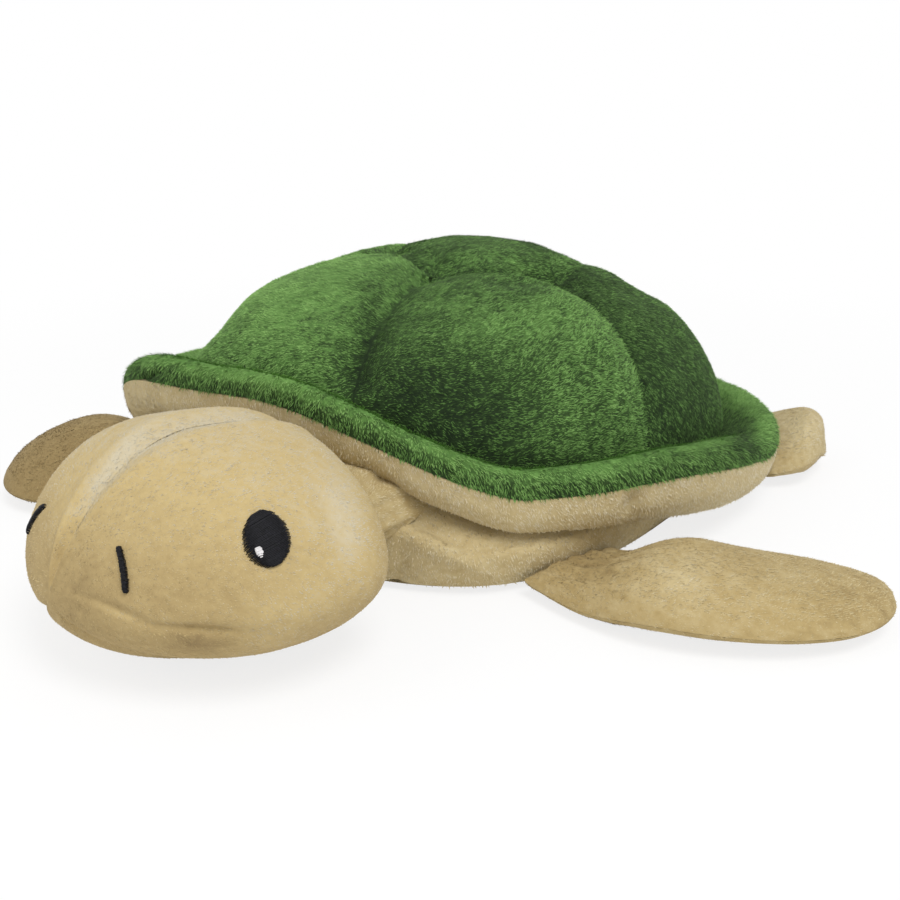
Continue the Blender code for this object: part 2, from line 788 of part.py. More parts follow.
def build_flipper(name, length, thickness, root_turn, bend, sizes, beige, white):
    """A flat pillow of two panels around its filling, hinged on its pinched root."""
    half_width, root_half_width, root_nest, fullest_share = sizes
    mirrored = name.startswith("right")
    root, heading = flipper_root(root_turn, root_nest, mirrored)
    backward = Vector((-math.cos(heading), -math.sin(heading), 0.0))

    def section(share, behind, depth):
        """One row across the flipper: middle points with half the thickness at each."""
        point, sideways = flipper_spine(root, heading, bend, length - depth, share)
        fill = flipper_fill(share, thickness, fullest_share)
        if behind > 0.0:
            reach = (root_radius - depth) * behind
            point = root + backward * reach
            half_thick = math.sqrt((root_radius - depth) ** 2 - reach ** 2)
            half_wide = root_half_width - depth
        else:
            half_thick = max(least_half_thickness, fill * round_end(share, tip_start_share) - depth)
            half_wide = max(least_half_width, flipper_width(share, half_width, root_half_width) - depth)
        centre_height = mix(root_height, fill + floor_clearance, smooth_step(share / level_share))
        row = []
        for across in across_shares:
            spot = point + sideways * half_wide * across
            spot.z = centre_height
            lift = half_thick * (1.0 - abs(across) ** pillow_squareness) ** pillow_softness
            row.append((spot, Vector((0.0, 0.0, lift))))
        return row

    def sections(depth, shares):
        return ([section(0.0, behind, depth) for behind in root_shares]
                + [section(share, 0.0, depth) for share in shares])

    made = []
    trim = Vector((0.0, 0.0, 0.5 * seam_gap))
    outer, inner = sections(0.0, flipper_shares), sections(fabric, flipper_shares)
    over = [[[spot + lift + trim for spot, lift in row] for row in rows] for rows in (outer, inner)]
    under = [[[spot - lift - trim for spot, lift in reversed(row)] for row in rows]
             for rows in (outer, inner)]
    made.append(panel(name + "_upper_panel", *over, beige))
    made.append(panel(name + "_lower_panel", *under, beige))
    loops = [[spot + lift for spot, lift in row] + [spot - lift for spot, lift in row[-2:0:-1]]
             for row in sections(fabric + layer_gap, filling_shares)]
    first, last = [sum(loop, Vector((0.0, 0.0, 0.0))) / len(loop) for loop in (loops[0], loops[-1])]
    made.append(solid(name + "_stuffing", loops, first, last, white))
    if mirrored:
        for item in made:
            item.data.transform(Matrix.Scale(-1.0, 4, Vector((1.0, 0.0, 0.0))))
            item.data.flip_normals()


def main():
    clear_scene()
    leaf = material("leaf_plush", leaf_green, 0.9)
    deep_leaf = material("deep_leaf_plush", deep_green, 0.9)
    beige = material("sand_plush", sand, 0.9)
    pale = material("pale_sand_plush", pale_sand, 0.9)
    black = material("black_thread", thread_black, 0.45)
    white = material("white_thread", thread_white, 0.5)
    wadding = material("wadding", wadding_white, 0.95)
    build_dome(leaf, deep_leaf)
    build_rim(leaf, beige, wadding)
    build_body(beige)
    build_body_stuffing(wadding)
    build_neck(beige)
    build_head(pale, wadding)
    build_face(black, white)
    front_sizes = (front_flipper_half_width, front_flipper_root_half_width,
                   front_root_nest, front_fullest_share)
    hind_sizes = (hind_flipper_half_width, hind_flipper_root_half_width,
                  hind_root_nest, hind_fullest_share)
    flippers = (
        ("left_front", left_front_flipper_length, front_flipper_thickness,
         left_front_root_turn, left_front_bend, front_sizes),
        ("right_front", right_front_flipper_length, front_flipper_thickness,
         right_front_root_turn, right_front_bend, front_sizes),
        ("left_hind", left_hind_flipper_length, left_hind_flipper_thickness,
         hind_root_turn, hind_bend, hind_sizes),
        ("right_hind", right_hind_flipper_length, right_hind_flipper_thickness,
         hind_root_turn, hind_bend, hind_sizes))
    for name, length, thickness, turn, bend, sizes in flippers:
        build_flipper(name + "_flipper", length, thickness, turn, bend, sizes, beige, wadding)


main()
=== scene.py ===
import math

import bpy
import numpy as np
from mathutils import Matrix, Vector


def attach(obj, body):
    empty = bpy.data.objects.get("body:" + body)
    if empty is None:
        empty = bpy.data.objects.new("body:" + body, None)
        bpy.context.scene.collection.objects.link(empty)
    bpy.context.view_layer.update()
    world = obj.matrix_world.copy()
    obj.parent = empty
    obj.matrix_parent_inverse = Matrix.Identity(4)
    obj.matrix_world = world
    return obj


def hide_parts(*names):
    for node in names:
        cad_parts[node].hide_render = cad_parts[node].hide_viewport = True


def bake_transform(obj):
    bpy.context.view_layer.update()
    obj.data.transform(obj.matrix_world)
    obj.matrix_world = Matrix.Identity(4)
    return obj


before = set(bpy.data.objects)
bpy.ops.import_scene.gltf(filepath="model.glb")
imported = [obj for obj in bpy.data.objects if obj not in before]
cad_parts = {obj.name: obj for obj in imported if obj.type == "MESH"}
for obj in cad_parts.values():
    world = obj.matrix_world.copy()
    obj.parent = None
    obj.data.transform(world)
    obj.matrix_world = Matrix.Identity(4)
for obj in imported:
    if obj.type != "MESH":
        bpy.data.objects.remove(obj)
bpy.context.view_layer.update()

# Camera, at the photograph's viewing angle

CAMERA_PLACE = (0.26369, -0.40245, 0.17212)
CAMERA_AZIMUTH = math.radians(34.0)
CAMERA_PITCH = math.radians(19.1)
LENS = 52.0
SENSOR = 36.0
IMAGE = 900.0


def new_object(name, data):
    made = bpy.data.objects.new(name, data)
    bpy.context.scene.collection.objects.link(made)
    return made


def camera_axes():
    right = np.array((math.cos(CAMERA_AZIMUTH), math.sin(CAMERA_AZIMUTH), 0.0))
    back = np.array((math.sin(CAMERA_AZIMUTH), -math.cos(CAMERA_AZIMUTH), 0.0))
    forward = -back * math.cos(CAMERA_PITCH) - np.array((0.0, 0.0, math.sin(CAMERA_PITCH)))
    return right, np.cross(right, forward), forward


def make_camera():
    right, up, forward = camera_axes()
    data = bpy.data.cameras.new("camera")
    data.lens = LENS
    data.sensor_width = SENSOR
    made = new_object("camera", data)
    matrix = Matrix.Identity(4)
    for column, axis in enumerate((right, up, -forward)):
        for row in range(3):
            matrix[row][column] = float(axis[row])
    matrix.translation = Vector(CAMERA_PLACE)
    made.matrix_world = matrix
    bpy.context.scene.camera = made


make_camera()


def photo_pixels(points):
    """Where points fall in the photograph, in pixels from its top left corner."""
    right, up, forward = camera_axes()
    away = points - np.array(CAMERA_PLACE)
    focal = LENS / SENSOR * IMAGE
    depth = away @ forward
    return np.stack([IMAGE / 2 + focal * (away @ right) / depth,
                     IMAGE / 2 - focal * (away @ up) / depth], -1)


# Small helpers

TAU = 2.0 * math.pi
QUARTER = 0.25 * TAU
FRONT = -0.25 * TAU
NUDGE = 0.01


def unit(vectors):
    return vectors / np.maximum(np.linalg.norm(vectors, axis=-1, keepdims=True), 1e-12)


def smooth(value):
    value = np.clip(value, 0.0, 1.0)
    return value * value * (3.0 - 2.0 * value)


def bell(distance, spread):
    return np.exp(-((distance / spread) ** 2))


def mix(first, second, share):
    return first * (1.0 - share) + second * share


def xyz(x, y, z):
    return np.stack(np.broadcast_arrays(x, y, z), -1).astype(float)


def oval(wide, front, rear, turn):
    across, along = np.cos(turn), np.sin(turn)
    length = np.where(along < 0.0, front[0], rear[0])
    square = np.where(along < 0.0, front[1], rear[1])
    reach = (np.abs(across) ** square + np.abs(along) ** square) ** (-1.0 / square)
    return xyz(wide * across * reach, length * along * reach, 0.0)


def turn_away(turn, other):
    return (turn - math.radians(other) + math.pi) % TAU - math.pi


def noise(points, size, seed):
    """Smooth values from -1 to 1 over space, in lumps of the given size."""
    at = points / size + 1000.0
    cell = np.floor(at).astype(np.int64)
    share = smooth(at - cell)
    total = 0.0
    for corner in range(8):
        step = np.array((corner & 1, corner >> 1 & 1, corner >> 2 & 1))
        x, y, z = np.moveaxis(cell + step, -1, 0)
        mixed = (x * 73856093) ^ (y * 19349663) ^ (z * 83492791) ^ (seed * 265443)
        mixed = ((mixed ^ (mixed >> 13)) * 1274126177) & 0x7FFFFFFF
        value = ((mixed ^ (mixed >> 15)) & 0xFFFF) / 32767.5 - 1.0
        total = total + value * np.prod(np.where(step == 1, share, 1.0 - share), axis=-1)
    return total


# Sizes and forms, as in the CAD

FABRIC = 0.0024
SEAM_SINK, SEAM_SPREAD = 0.0042, 0.0085
STITCH_SINK, STITCH_SPREAD = 0.0006, 0.0019
FOOT_TURNS = np.radians((-75.0, -21.0, 50.0, 124.0, 200.0, 285.0))
CROWN_TURNS = np.radians((-76.0, -9.0, 62.0, 134.0, 203.0, 284.0))
PANELS = 5
DOME_TOP = 0.0880
DOME_LEFT, DOME_RIGHT = 0.0980, 0.0890
FULLNESS = 2.12
CROWN = 0.042
CROWN_LEFT_SHIFT, CROWN_BACK_SHIFT = 0.0040, 0.0060
CROWN_ROUND, CROWN_STRAIGHT = 0.93, 0.5
CORNER_SINK, CORNER_SPREAD = 0.0040, 0.0130
FOOT_SEAM_SHARE, CROWN_SEAM_SHARE, FOOT_CLIMB = 0.70, 0.30, 0.25
RIM_HALF_WIDTH = 0.1180
RIM_REAR_HEIGHT, RIM_SIDE_RISE, RIM_FRONT_RISE = 0.0210, 0.0110, 0.0230
VALLEY_RISE, RIM_TUCK = 0.0030, 0.0040
LIP_DROP, KEEL_DROP, SIDE_KEEL_DROP, ROOT_DROP = 0.0055, 0.0080, 0.0040, 0.0070
LOBE_TURN, LOBE_SPREAD, LOBE_LIFT, LOBE_REACH = -120.0, math.radians(14.0), 0.0105, 0.0065
NOTCH_TURN, NOTCH_SPREAD, NOTCH_DEPTH = -92.0, math.radians(22.0), 0.0040
SAG_TURN, SAG_SPREAD, SAG_DROP = -4.0, math.radians(26.0), 0.0060
BODY_LEFT, BODY_RIGHT, BODY_SHIFT = 0.0960, 0.0850, -0.0100
BELLY_INSET, BELLY_FLAT_INSET, BELLY_HEIGHT = 0.0030, 0.0120, 0.0027


def rim_edge(turn):
    return oval(RIM_HALF_WIDTH, (0.1210, 2.2), (0.0920, 2.3), turn)


def dome_foot(turn):
    wide = np.where(np.cos(turn) > 0.0, DOME_LEFT, DOME_RIGHT)
    return oval(wide, (0.1050, 2.6), (0.0760, 2.2), turn)


def place_turn(place, ends):
    """The turn of a place around the shell, where whole numbers lie on the side panels' seams."""
    lap = np.floor(place / PANELS)
    return np.interp(place - PANELS * lap, np.arange(PANELS + 1), ends) + lap * TAU


def side_share(turn):
    """0 behind, rising along each side to 1 in front."""
    return smooth((-np.sin(turn) + 0.25) / 0.75)


def rim_height(turn):
    front = np.maximum(0.0, -np.sin(turn) - 0.74) / 0.26
    lobe = LOBE_LIFT * bell(turn_away(turn, LOBE_TURN), LOBE_SPREAD)
    return RIM_REAR_HEIGHT + RIM_SIDE_RISE * side_share(turn) + RIM_FRONT_RISE * front ** 1.5 + lobe


def dome_turn(place, climb):
    share = np.minimum(1.0, climb)
    return mix(place_turn(place, FOOT_TURNS), place_turn(place, CROWN_TURNS), share)


def crown_rise(place):
    """How high up the dome the seam around its top lies: a rounded pentagon, off the middle."""
    corner, turn = place_turn(np.floor(place), CROWN_TURNS), place_turn(place, CROWN_TURNS)
    half_step = 0.5 * (place_turn(np.floor(place) + 1.0, CROWN_TURNS) - corner)
    straight = np.cos(half_step) / np.cos(turn - corner - half_step)
    reach = CROWN * mix(straight, CROWN_ROUND, CROWN_STRAIGHT)
    reach = reach + CROWN_LEFT_SHIFT * np.cos(turn) + CROWN_BACK_SHIFT * np.sin(turn)
    return np.arccos((reach / np.linalg.norm(dome_foot(turn), axis=-1)) ** (0.5 * FULLNESS))


def dome_surface(turn, rise):
    rise = np.clip(rise, 0.0, QUARTER)
    spread = np.cos(rise) ** (2.0 / FULLNESS)
    lift = np.sin(rise) ** (2.0 / FULLNESS)
    foot = dome_foot(turn)
    base = rim_height(turn) + VALLEY_RISE
    return xyz(foot[..., 0] * spread, foot[..., 1] * spread, base + (DOME_TOP - base) * lift)


def dome_normal(turn, rise):
    across = dome_surface(turn + NUDGE, rise) - dome_surface(turn - NUDGE, rise)
    low = np.clip(rise - NUDGE, 0.0, None)
    high = np.clip(rise + NUDGE, None, QUARTER - NUDGE)
    up = dome_surface(turn, high) - dome_surface(turn, low)
    up = np.where((rise < NUDGE)[..., None], np.array((0.0, 0.0, 1.0)), up)
    return unit(np.cross(across, up))


def dome_point(place, climb):
    """A point of the dome, and its distance to the nearest seam."""
    edge = crown_rise(place)
    rise = np.where(climb <= 1.0, edge * climb, edge + (QUARTER - edge) * (climb - 1.0))
    turn = dome_turn(place, climb)
    point = dome_surface(turn, rise)
    radius = np.hypot(point[..., 0], point[..., 1])
    across = np.abs(turn - dome_turn(np.round(place), climb)) * radius
    away = np.linalg.norm(point - dome_surface(dome_turn(place, 1.0), edge), axis=-1)
    nearest = np.where(climb <= 1.0, np.minimum(away, across), away)
    deep = np.where(away < across, CROWN_SEAM_SHARE, FOOT_SEAM_SHARE) * SEAM_SINK
    sunk = deep * bell(nearest, SEAM_SPREAD) + STITCH_SINK * bell(nearest, STITCH_SPREAD)
    sunk = sunk + CORNER_SINK * bell(np.hypot(away, across), CORNER_SPREAD)
    sunk = sunk * smooth(climb / FOOT_CLIMB)
    return point - dome_normal(turn, rise) * sunk[..., None], nearest


def rim_frame(turn):
    """The rim's outer seam, the way in from it to the dome's foot, and how far that is."""
    outer = rim_edge(turn)
    moved = (LOBE_REACH * bell(turn_away(turn, LOBE_TURN), LOBE_SPREAD)
             - NOTCH_DEPTH * bell(turn_away(turn, NOTCH_TURN), NOTCH_SPREAD))
    outer = outer + unit(outer) * moved[..., None]
    inward = dome_foot(turn) - outer
    reach = np.linalg.norm(inward, axis=-1)
    outer[..., 2] = rim_height(turn)
    return outer, unit(inward), reach


def spline(knots, shares):
    """Points on a smooth line through knots, at shares from 0 to 1 of its length."""
    knots = np.asarray(knots, float)
    padded = np.concatenate([2 * knots[:1] - knots[1:2], knots, 2 * knots[-1:] - knots[-2:-1]])
    steps = np.linalg.norm(np.diff(knots, axis=0), axis=-1)
    while steps.ndim > 1:
        steps = steps.mean(-1)
    at = np.concatenate([[0.0], np.cumsum(steps)])
    where = np.asarray(shares) * at[-1]
    cell = np.clip(np.searchsorted(at, where, side="right") - 1, 0, len(steps) - 1)
    t = (where - at[cell]) / steps[cell]
    t = t.reshape((-1,) + (1,) * (knots.ndim - 1))
    p0, p1, p2, p3 = (padded[cell + k] for k in range(4))
    return 0.5 * (2 * p1 + (p2 - p0) * t + (2 * p0 - 5 * p1 + 4 * p2 - p3) * t ** 2
                  + (3 * p1 - p0 - 3 * p2 + p3) * t ** 3)


def rim_lines(turn):
    """Upper and lower outlines of the rim: from the dome out to the seam, and back in below."""
    seam, inward, reach = rim_frame(turn)
    sag = SAG_DROP * bell(turn_away(turn, SAG_TURN), SAG_SPREAD)
    keel = KEEL_DROP + SIDE_KEEL_DROP * side_share(turn) + sag
    lip = LIP_DROP + 0.5 * (keel - KEEL_DROP)
    up = np.array((0.0, 0.0, 1.0))

    def spot(share, rise, far=reach):
        return seam + inward * (share * far)[..., None] + up * (rise + 0.0 * turn)[..., None]

    upper = [spot(1.0, 0.0028), spot(0.76, 0.0050), spot(0.50, 0.0076), spot(0.24, 0.0079),
             spot(0.05, 0.0050), spot(0.0, 0.0002)]
    under = reach + RIM_TUCK
    lower = [spot(0.0, -0.0001), spot(0.06, -lip, under), spot(0.30, -keel, under),
             spot(0.68, -mix(keel, ROOT_DROP, 0.3), under), spot(1.0, -ROOT_DROP, under)]
    return upper, lower


def body_outline(turn, inset):
    wide = np.where(np.cos(turn) > 0.0, BODY_LEFT, BODY_RIGHT)
    edge = oval(wide - inset, (0.1070 - inset, 3.0), (0.0880 - inset, 2.6), turn)
    return edge + np.array((0.0, BODY_SHIFT, 0.0))


def body_lines(turn):
    """Outlines of the body's side, from the belly seam up to the root of the rim."""
    seam, inward, reach = rim_frame(turn)
    root = seam + inward * (reach + RIM_TUCK)[..., None]
    root[..., 2] -= ROOT_DROP + 0.0005
    belly = body_outline(turn, BELLY_INSET)
    belly[..., 2] = BELLY_HEIGHT + 0.0002
    bulge = body_outline(turn, 0.0)
    bulge[..., 2] = mix(BELLY_HEIGHT, root[..., 2], 0.55)
    low = body_outline(turn, 0.0009)
    low[..., 2] = mix(bulge[..., 2], BELLY_HEIGHT, 0.6)
    return [belly, low, bulge, mix(bulge, root, 0.4), root]


HEAD_TURN, HEAD_PITCH = math.radians(-12.8), math.radians(-4.2)
NECK_RADIUS, NECK_BEHIND = 0.0145, 0.0348
HEAD_CENTRE = np.array((0.0176, -0.1170 - 0.0005 - NECK_RADIUS + 0.0009
                        - NECK_BEHIND * math.cos(HEAD_TURN) * math.cos(HEAD_PITCH), 0.0299))
CHIN_TURN = math.radians(145.0)
HEAD_WIDE, HEAD_LONG = 0.0550, 0.0437


def from_head(points):
    """Points of the head's own frame, placed and turned as the head is."""
    matrix = np.array(Matrix.Rotation(HEAD_TURN, 3, "Z") @ Matrix.Rotation(HEAD_PITCH, 3, "X"))
    return points @ matrix.T + HEAD_CENTRE


def head_local(along, turn, depth=0.0):
    station = -np.cos(math.pi * along)
    fullness = np.where(station < 0.0, 1.84, 2.84)
    girth = np.maximum(0.0, 1.0 - np.abs(station) ** fullness) ** (1.0 / fullness)
    across, up = np.sin(turn), np.cos(turn)
    reach = (np.abs(across) ** 1.87 + np.abs(up) ** 1.87) ** (-1.0 / 1.87)
    tall = np.where(up > 0.0, 0.0348, 0.0287)
    droop = 0.0075 * np.maximum(0.0, -station) ** 2.2
    return xyz((HEAD_WIDE - depth) * girth * across * reach, (HEAD_LONG - depth) * station,
               (tall - depth) * girth * up * reach - droop)


def head_seam_distance(turn):
    seams = (0.0, CHIN_TURN, TAU - CHIN_TURN, TAU)
    return np.min([np.abs(turn - seam) for seam in seams], axis=0) * HEAD_WIDE


def head_point(along, turn):
    distance = head_seam_distance(turn)
    sunk = 0.32 * SEAM_SINK * bell(distance, SEAM_SPREAD) + 0.0003 * bell(distance, STITCH_SPREAD)
    from_top = np.minimum(np.abs(turn), np.abs(turn - TAU)) * HEAD_WIDE
    sunk = sunk + 0.0006 * bell(from_top, 0.0045) - 0.0010 * bell(from_top - 0.0085, 0.0040)
    return from_head(head_local(along, turn, sunk * smooth(along / 0.14)))


# rings of the head's back: their share of the way in to the neck's hollow, and how far back
HEAD_BACK = ((0.08, 0.0334), (0.22, 0.0346), (0.45, 0.0350), (0.70, 0.0344), (0.90, 0.0330),
             (1.0, 0.0310))


def head_rows(turn):
    """The head from its nose to the hollow for the neck cushion behind it."""
    alongs = np.concatenate([[0.002, 0.010, 0.022], np.linspace(0.04, 0.76, 58)])
    rows = [head_point(along + 0.0 * turn, turn) for along in alongs]
    rim = head_local(0.76 + 0.0 * turn, turn)
    flat = xyz(0.0152 * np.sin(turn), 0.0, 0.0152 * np.cos(turn))
    for share, behind in HEAD_BACK:
        ring = mix(rim, flat, share)
        ring[..., 1] = behind
        rows.append(from_head(ring))
    return np.stack(rows)


ROOT_RADIUS, ROOT_HEIGHT, CLEARANCE = 0.0042, 0.0060, 0.0012
# length, thickness, turn of the root around the body, and bend, both in degrees
FLIPPERS = {
    "left_front": (0.0970, 0.0205, -32.7, 92.0),
    "right_front": (0.0800, 0.0205, -27.0, -158.0),
    "left_hind": (0.0410, 0.0220, 40.0, -22.0),
    "right_hind": (0.0500, 0.0175, 40.0, -22.0),
}
# half widths of blade and root, how deep the root nests, and where the flipper is thickest
FRONT_WIDTHS, HIND_WIDTHS = (0.0260, 0.0140, 0.0010, 0.42), (0.0280, 0.0130, 0.0004, 0.95)
FLIPPER_WIDTHS = {"left_front": (0.0260, 0.0195, 0.0010, 0.30), "right_front": FRONT_WIDTHS,
                  "left_hind": HIND_WIDTHS, "right_hind": HIND_WIDTHS}


def flank(turn, mirrored):
    if not mirrored:
        return body_outline(np.array(turn), 0.0)
    return body_outline(np.array(math.pi - turn), 0.0) * np.array((-1.0, 1.0, 1.0))


def flipper_root(root_turn, nest, mirrored):
    step = flank(root_turn + NUDGE, mirrored) - flank(root_turn - NUDGE, mirrored)
    heading = math.atan2(step[1], step[0]) - QUARTER
    outward = np.array((math.cos(heading), math.sin(heading), 0.0))
    root = flank(root_turn, mirrored) + outward * (ROOT_RADIUS - nest)
    root[2] = ROOT_HEIGHT
    return root, heading


def round_end(share):
    return math.sqrt(max(0.0, 1.0 - (max(0.0, share - 0.74) / 0.26) ** 2))


FLIPPER_ROWS = 60


def flipper_grid(name, across):
    """Over a flipper: middle points, half the thickness, the way along it, and length shares."""
    length, thickness, root_turn, bend = FLIPPERS[name]
    half_width, root_half_width, nest, fullest = FLIPPER_WIDTHS[name]
    bend = math.radians(bend)
    root, heading = flipper_root(math.radians(root_turn), nest, name.startswith("right"))
    backward = np.array((-math.cos(heading), -math.sin(heading), 0.0))
    shares = 1.0 - (1.0 - np.linspace(0.0, 0.9990, FLIPPER_ROWS)) ** 1.35
    middles, lifts, ways, places = [], [], [], []
    for behind, share in [(b, 0.0) for b in (0.98, 0.90, 0.72, 0.42)] + [(0.0, s) for s in shares]:
        turned = heading + bend * share
        point = root + length / bend * np.array((math.sin(turned) - math.sin(heading),
                                                 math.cos(heading) - math.cos(turned), 0.0))
        sideways = np.array((math.sin(turned), -math.cos(turned), 0.0))
        swell = mix(ROOT_RADIUS, 0.5 * thickness, smooth(share / fullest))
        fill = swell * mix(1.0, 0.62, smooth((share - fullest) / (1.0 - fullest)))
        if behind > 0.0:
            point = root + backward * ROOT_RADIUS * behind
            half_thick = ROOT_RADIUS * math.sqrt(1.0 - behind ** 2)
            half_wide = root_half_width
        else:
            end = round_end(share)
            blade = mix(root_half_width, half_width, smooth(share / 0.42))
            taper = mix(1.0, 0.80, smooth((share - 0.55) / 0.45))
            half_thick = max(0.0006, fill * end)
            half_wide = max(0.0010, blade * taper * end)
        middle = point + sideways * (half_wide * across)[..., None]
        middle[..., 2] = mix(ROOT_HEIGHT, fill + CLEARANCE, smooth(share / 0.4))
        middles.append(middle)
        lifts.append(half_thick * (1.0 - np.abs(across) ** 2.3) ** 0.62)
        ways.append(np.broadcast_to((math.cos(turned), math.sin(turned), 0.0), middle.shape))
        places.append(share + 0.0 * across)
    return np.stack(middles), np.stack(lifts), np.stack(ways), np.stack(places)


# Materials

def node(tree, kind, **values):
    made = tree.nodes.new(kind)
    for key, value in values.items():
        if key in made.inputs:
            made.inputs[key].default_value = value
        else:
            setattr(made, key, value)
    return made


def ramp(tree, source, stops):
    made = tree.nodes.new("ShaderNodeValToRGB")
    while len(made.color_ramp.elements) < len(stops):
        made.color_ramp.elements.new(0.5)
    for element, (place, colour) in zip(made.color_ramp.elements, stops):
        element.position = place
        element.color = (*colour, 1.0)
    tree.links.new(source, made.inputs["Fac"])
    return made.outputs["Color"]


def new_material(name, roughness):
    made = bpy.data.materials.new(name)
    made.use_nodes = True
    shader = made.node_tree.nodes["Principled BSDF"]
    shader.inputs["Roughness"].default_value = roughness
    return made, made.node_tree, shader


def plush(name, stops, sheen, weights):
    """Short pile: each fibre darker at its root as painted shade, tufts and worn patches, and a low
    sheen.

    The pile attribute holds the share of a fibre's height, the fibre's own tone and the patch's,
    which also carries the painted light and shade.
    """
    made, tree, shader = new_material(name, 0.9)
    link = tree.links.new
    shader.inputs["Specular IOR Level"].default_value = 0.2
    shader.inputs["Sheen Weight"].default_value = sheen
    shader.inputs["Sheen Roughness"].default_value = 0.5
    shader.inputs["Sheen Tint"].default_value = (*stops[-1][1], 1.0)
    pile = node(tree, "ShaderNodeAttribute", attribute_name="pile")
    parts = node(tree, "ShaderNodeSeparateColor")
    link(pile.outputs["Color"], parts.inputs["Color"])
    place = node(tree, "ShaderNodeTexCoord")
    grain = node(tree, "ShaderNodeTexNoise", Scale=620.0, Detail=3.0, Roughness=0.65)
    link(place.outputs["Object"], grain.inputs["Vector"])
    total = None
    sources = [parts.outputs[channel] for channel in ("Red", "Green", "Blue")]
    for source, weight in zip(sources + [grain.outputs["Fac"]], weights):
        step = node(tree, "ShaderNodeMath", operation="MULTIPLY_ADD")
        step.inputs[1].default_value = weight
        step.inputs[2].default_value = 0.5 - 0.5 * sum(weights) if total is None else 0.0
        link(source, step.inputs[0])
        if total is not None:
            link(total, step.inputs[2])
        total = step.outputs["Value"]
    link(ramp(tree, total, stops), shader.inputs["Base Color"])
    bump = node(tree, "ShaderNodeBump", Strength=0.5, Distance=0.0005)
    link(grain.outputs["Fac"], bump.inputs["Height"])
    link(bump.outputs["Normal"], shader.inputs["Normal"])
    return made


# the weights are those of a fibre's height (painted shade at its root), its own tone, its patch
# (with the painted light and shade) and the fine grain
LEAF = plush("leaf plush", ((0.10, (0.007, 0.016, 0.005)), (0.34, (0.028, 0.058, 0.015)),
                            (0.52, (0.106, 0.226, 0.052)), (0.90, (0.270, 0.470, 0.140))), 0.12,
             (0.36, 0.30, 0.50, 0.34))
SAND = plush("sand plush", ((0.10, (0.170, 0.110, 0.042)), (0.34, (0.415, 0.310, 0.138)),
                            (0.56, (0.595, 0.500, 0.290)), (0.88, (0.740, 0.705, 0.590))), 0.10,
             (0.20, 0.10, 0.44, 0.16))
PALE = plush("pale sand plush", ((0.10, (0.180, 0.120, 0.055)), (0.34, (0.400, 0.295, 0.135)),
                                 (0.48, (0.520, 0.400, 0.190)), (0.68, (0.570, 0.525, 0.410))),
             0.10, (0.16, 0.08, 0.44, 0.12))


def thread(name, colour, lighter, gloss):
    """Satin embroidery thread: fine twisted fibres with small painted glints, lighter specks in
    their colour.
    """
    made, tree, shader = new_material(name, gloss)
    link = tree.links.new
    shader.inputs["Specular IOR Level"].default_value = 0.2
    place = node(tree, "ShaderNodeTexCoord")
    fibres = node(tree, "ShaderNodeTexNoise", Scale=1500.0, Detail=3.0, Roughness=0.7)
    link(place.outputs["Object"], fibres.inputs["Vector"])
    link(ramp(tree, fibres.outputs["Fac"], ((0.44, colour), (0.66, lighter))),
         shader.inputs["Base Color"])
    bump = node(tree, "ShaderNodeBump", Strength=0.6, Distance=0.0002)
    link(fibres.outputs["Fac"], bump.inputs["Height"])
    link(bump.outputs["Normal"], shader.inputs["Normal"])
    return made


BLACK = thread("black thread", (0.001, 0.001, 0.002), (0.009, 0.009, 0.013), 0.50)
WHITE = thread("white thread", (0.70, 0.68, 0.68), (0.84, 0.82, 0.82), 0.5)


# Cloth with its pile

def steps_around(grid, closed):
    if closed:
        return np.roll(grid, -1, axis=1) - np.roll(grid, 1, axis=1)
    return np.gradient(grid, axis=1)


def grid_normals(grid, closed, turned):
    normals = unit(np.cross(steps_around(grid, closed), np.gradient(grid, axis=0)))
    return -normals if turned else normals


def photo_bell(points, normals, x, y, wide, tall, tilt=0.0, past=0.0):
    """1 at a place seen in the photograph, fading out over its width and height in pixels.

    past lets it reach a little round the outline.
    """
    facing = smooth(6.0 * (past - (unit(points - np.array(CAMERA_PLACE)) * normals).sum(-1)) + 0.5)
    away = photo_pixels(points) - np.array((x, y))
    c, s = math.cos(math.radians(tilt)), math.sin(math.radians(tilt))
    along, across = away[..., 0] * c + away[..., 1] * s, away[..., 1] * c - away[..., 0] * s
    return bell(np.hypot(along / wide, across / tall), 1.0) * facing


def shaped(grid, marks=(), closed=False, turned=False, lumps=0.00035, seed=1):
    """Soft lumps all over, and hollows or folds at places in the photograph."""
    normals = grid_normals(grid, closed, turned)
    moved = lumps * noise(grid, 0.021, seed) + 0.5 * lumps * noise(grid, 0.0085, seed + 1)
    for amount, *where in marks:
        moved = moved + amount * photo_bell(grid, normals, *where)
    return grid + normals * moved[..., None]


PATCH_SIZES = (0.0013, 0.0045, 0.014)


def patches(points, mottle, seed):
    """Tones of tufts, small patches and large ones, around a middle of 0.5."""
    small, middle, large = (noise(points, size, seed + k) for k, size in enumerate(PATCH_SIZES))
    return 0.5 + mottle * (0.26 * small + 0.07 * middle + 0.09 * large)


# how far a fibre's shading leans against the nap and scatters, its height mark at the foot, which
# paints shade there, how much painted shade darkens the backing cloth, and how deep the foot sits
# in it
FIBRE_LEAN, FIBRE_SCATTER, FIBRE_FOOT_SHADE, BACKING_SHADE = 0.42, 0.20, 0.15, 0.15
FIBRE_SINK = 0.0001


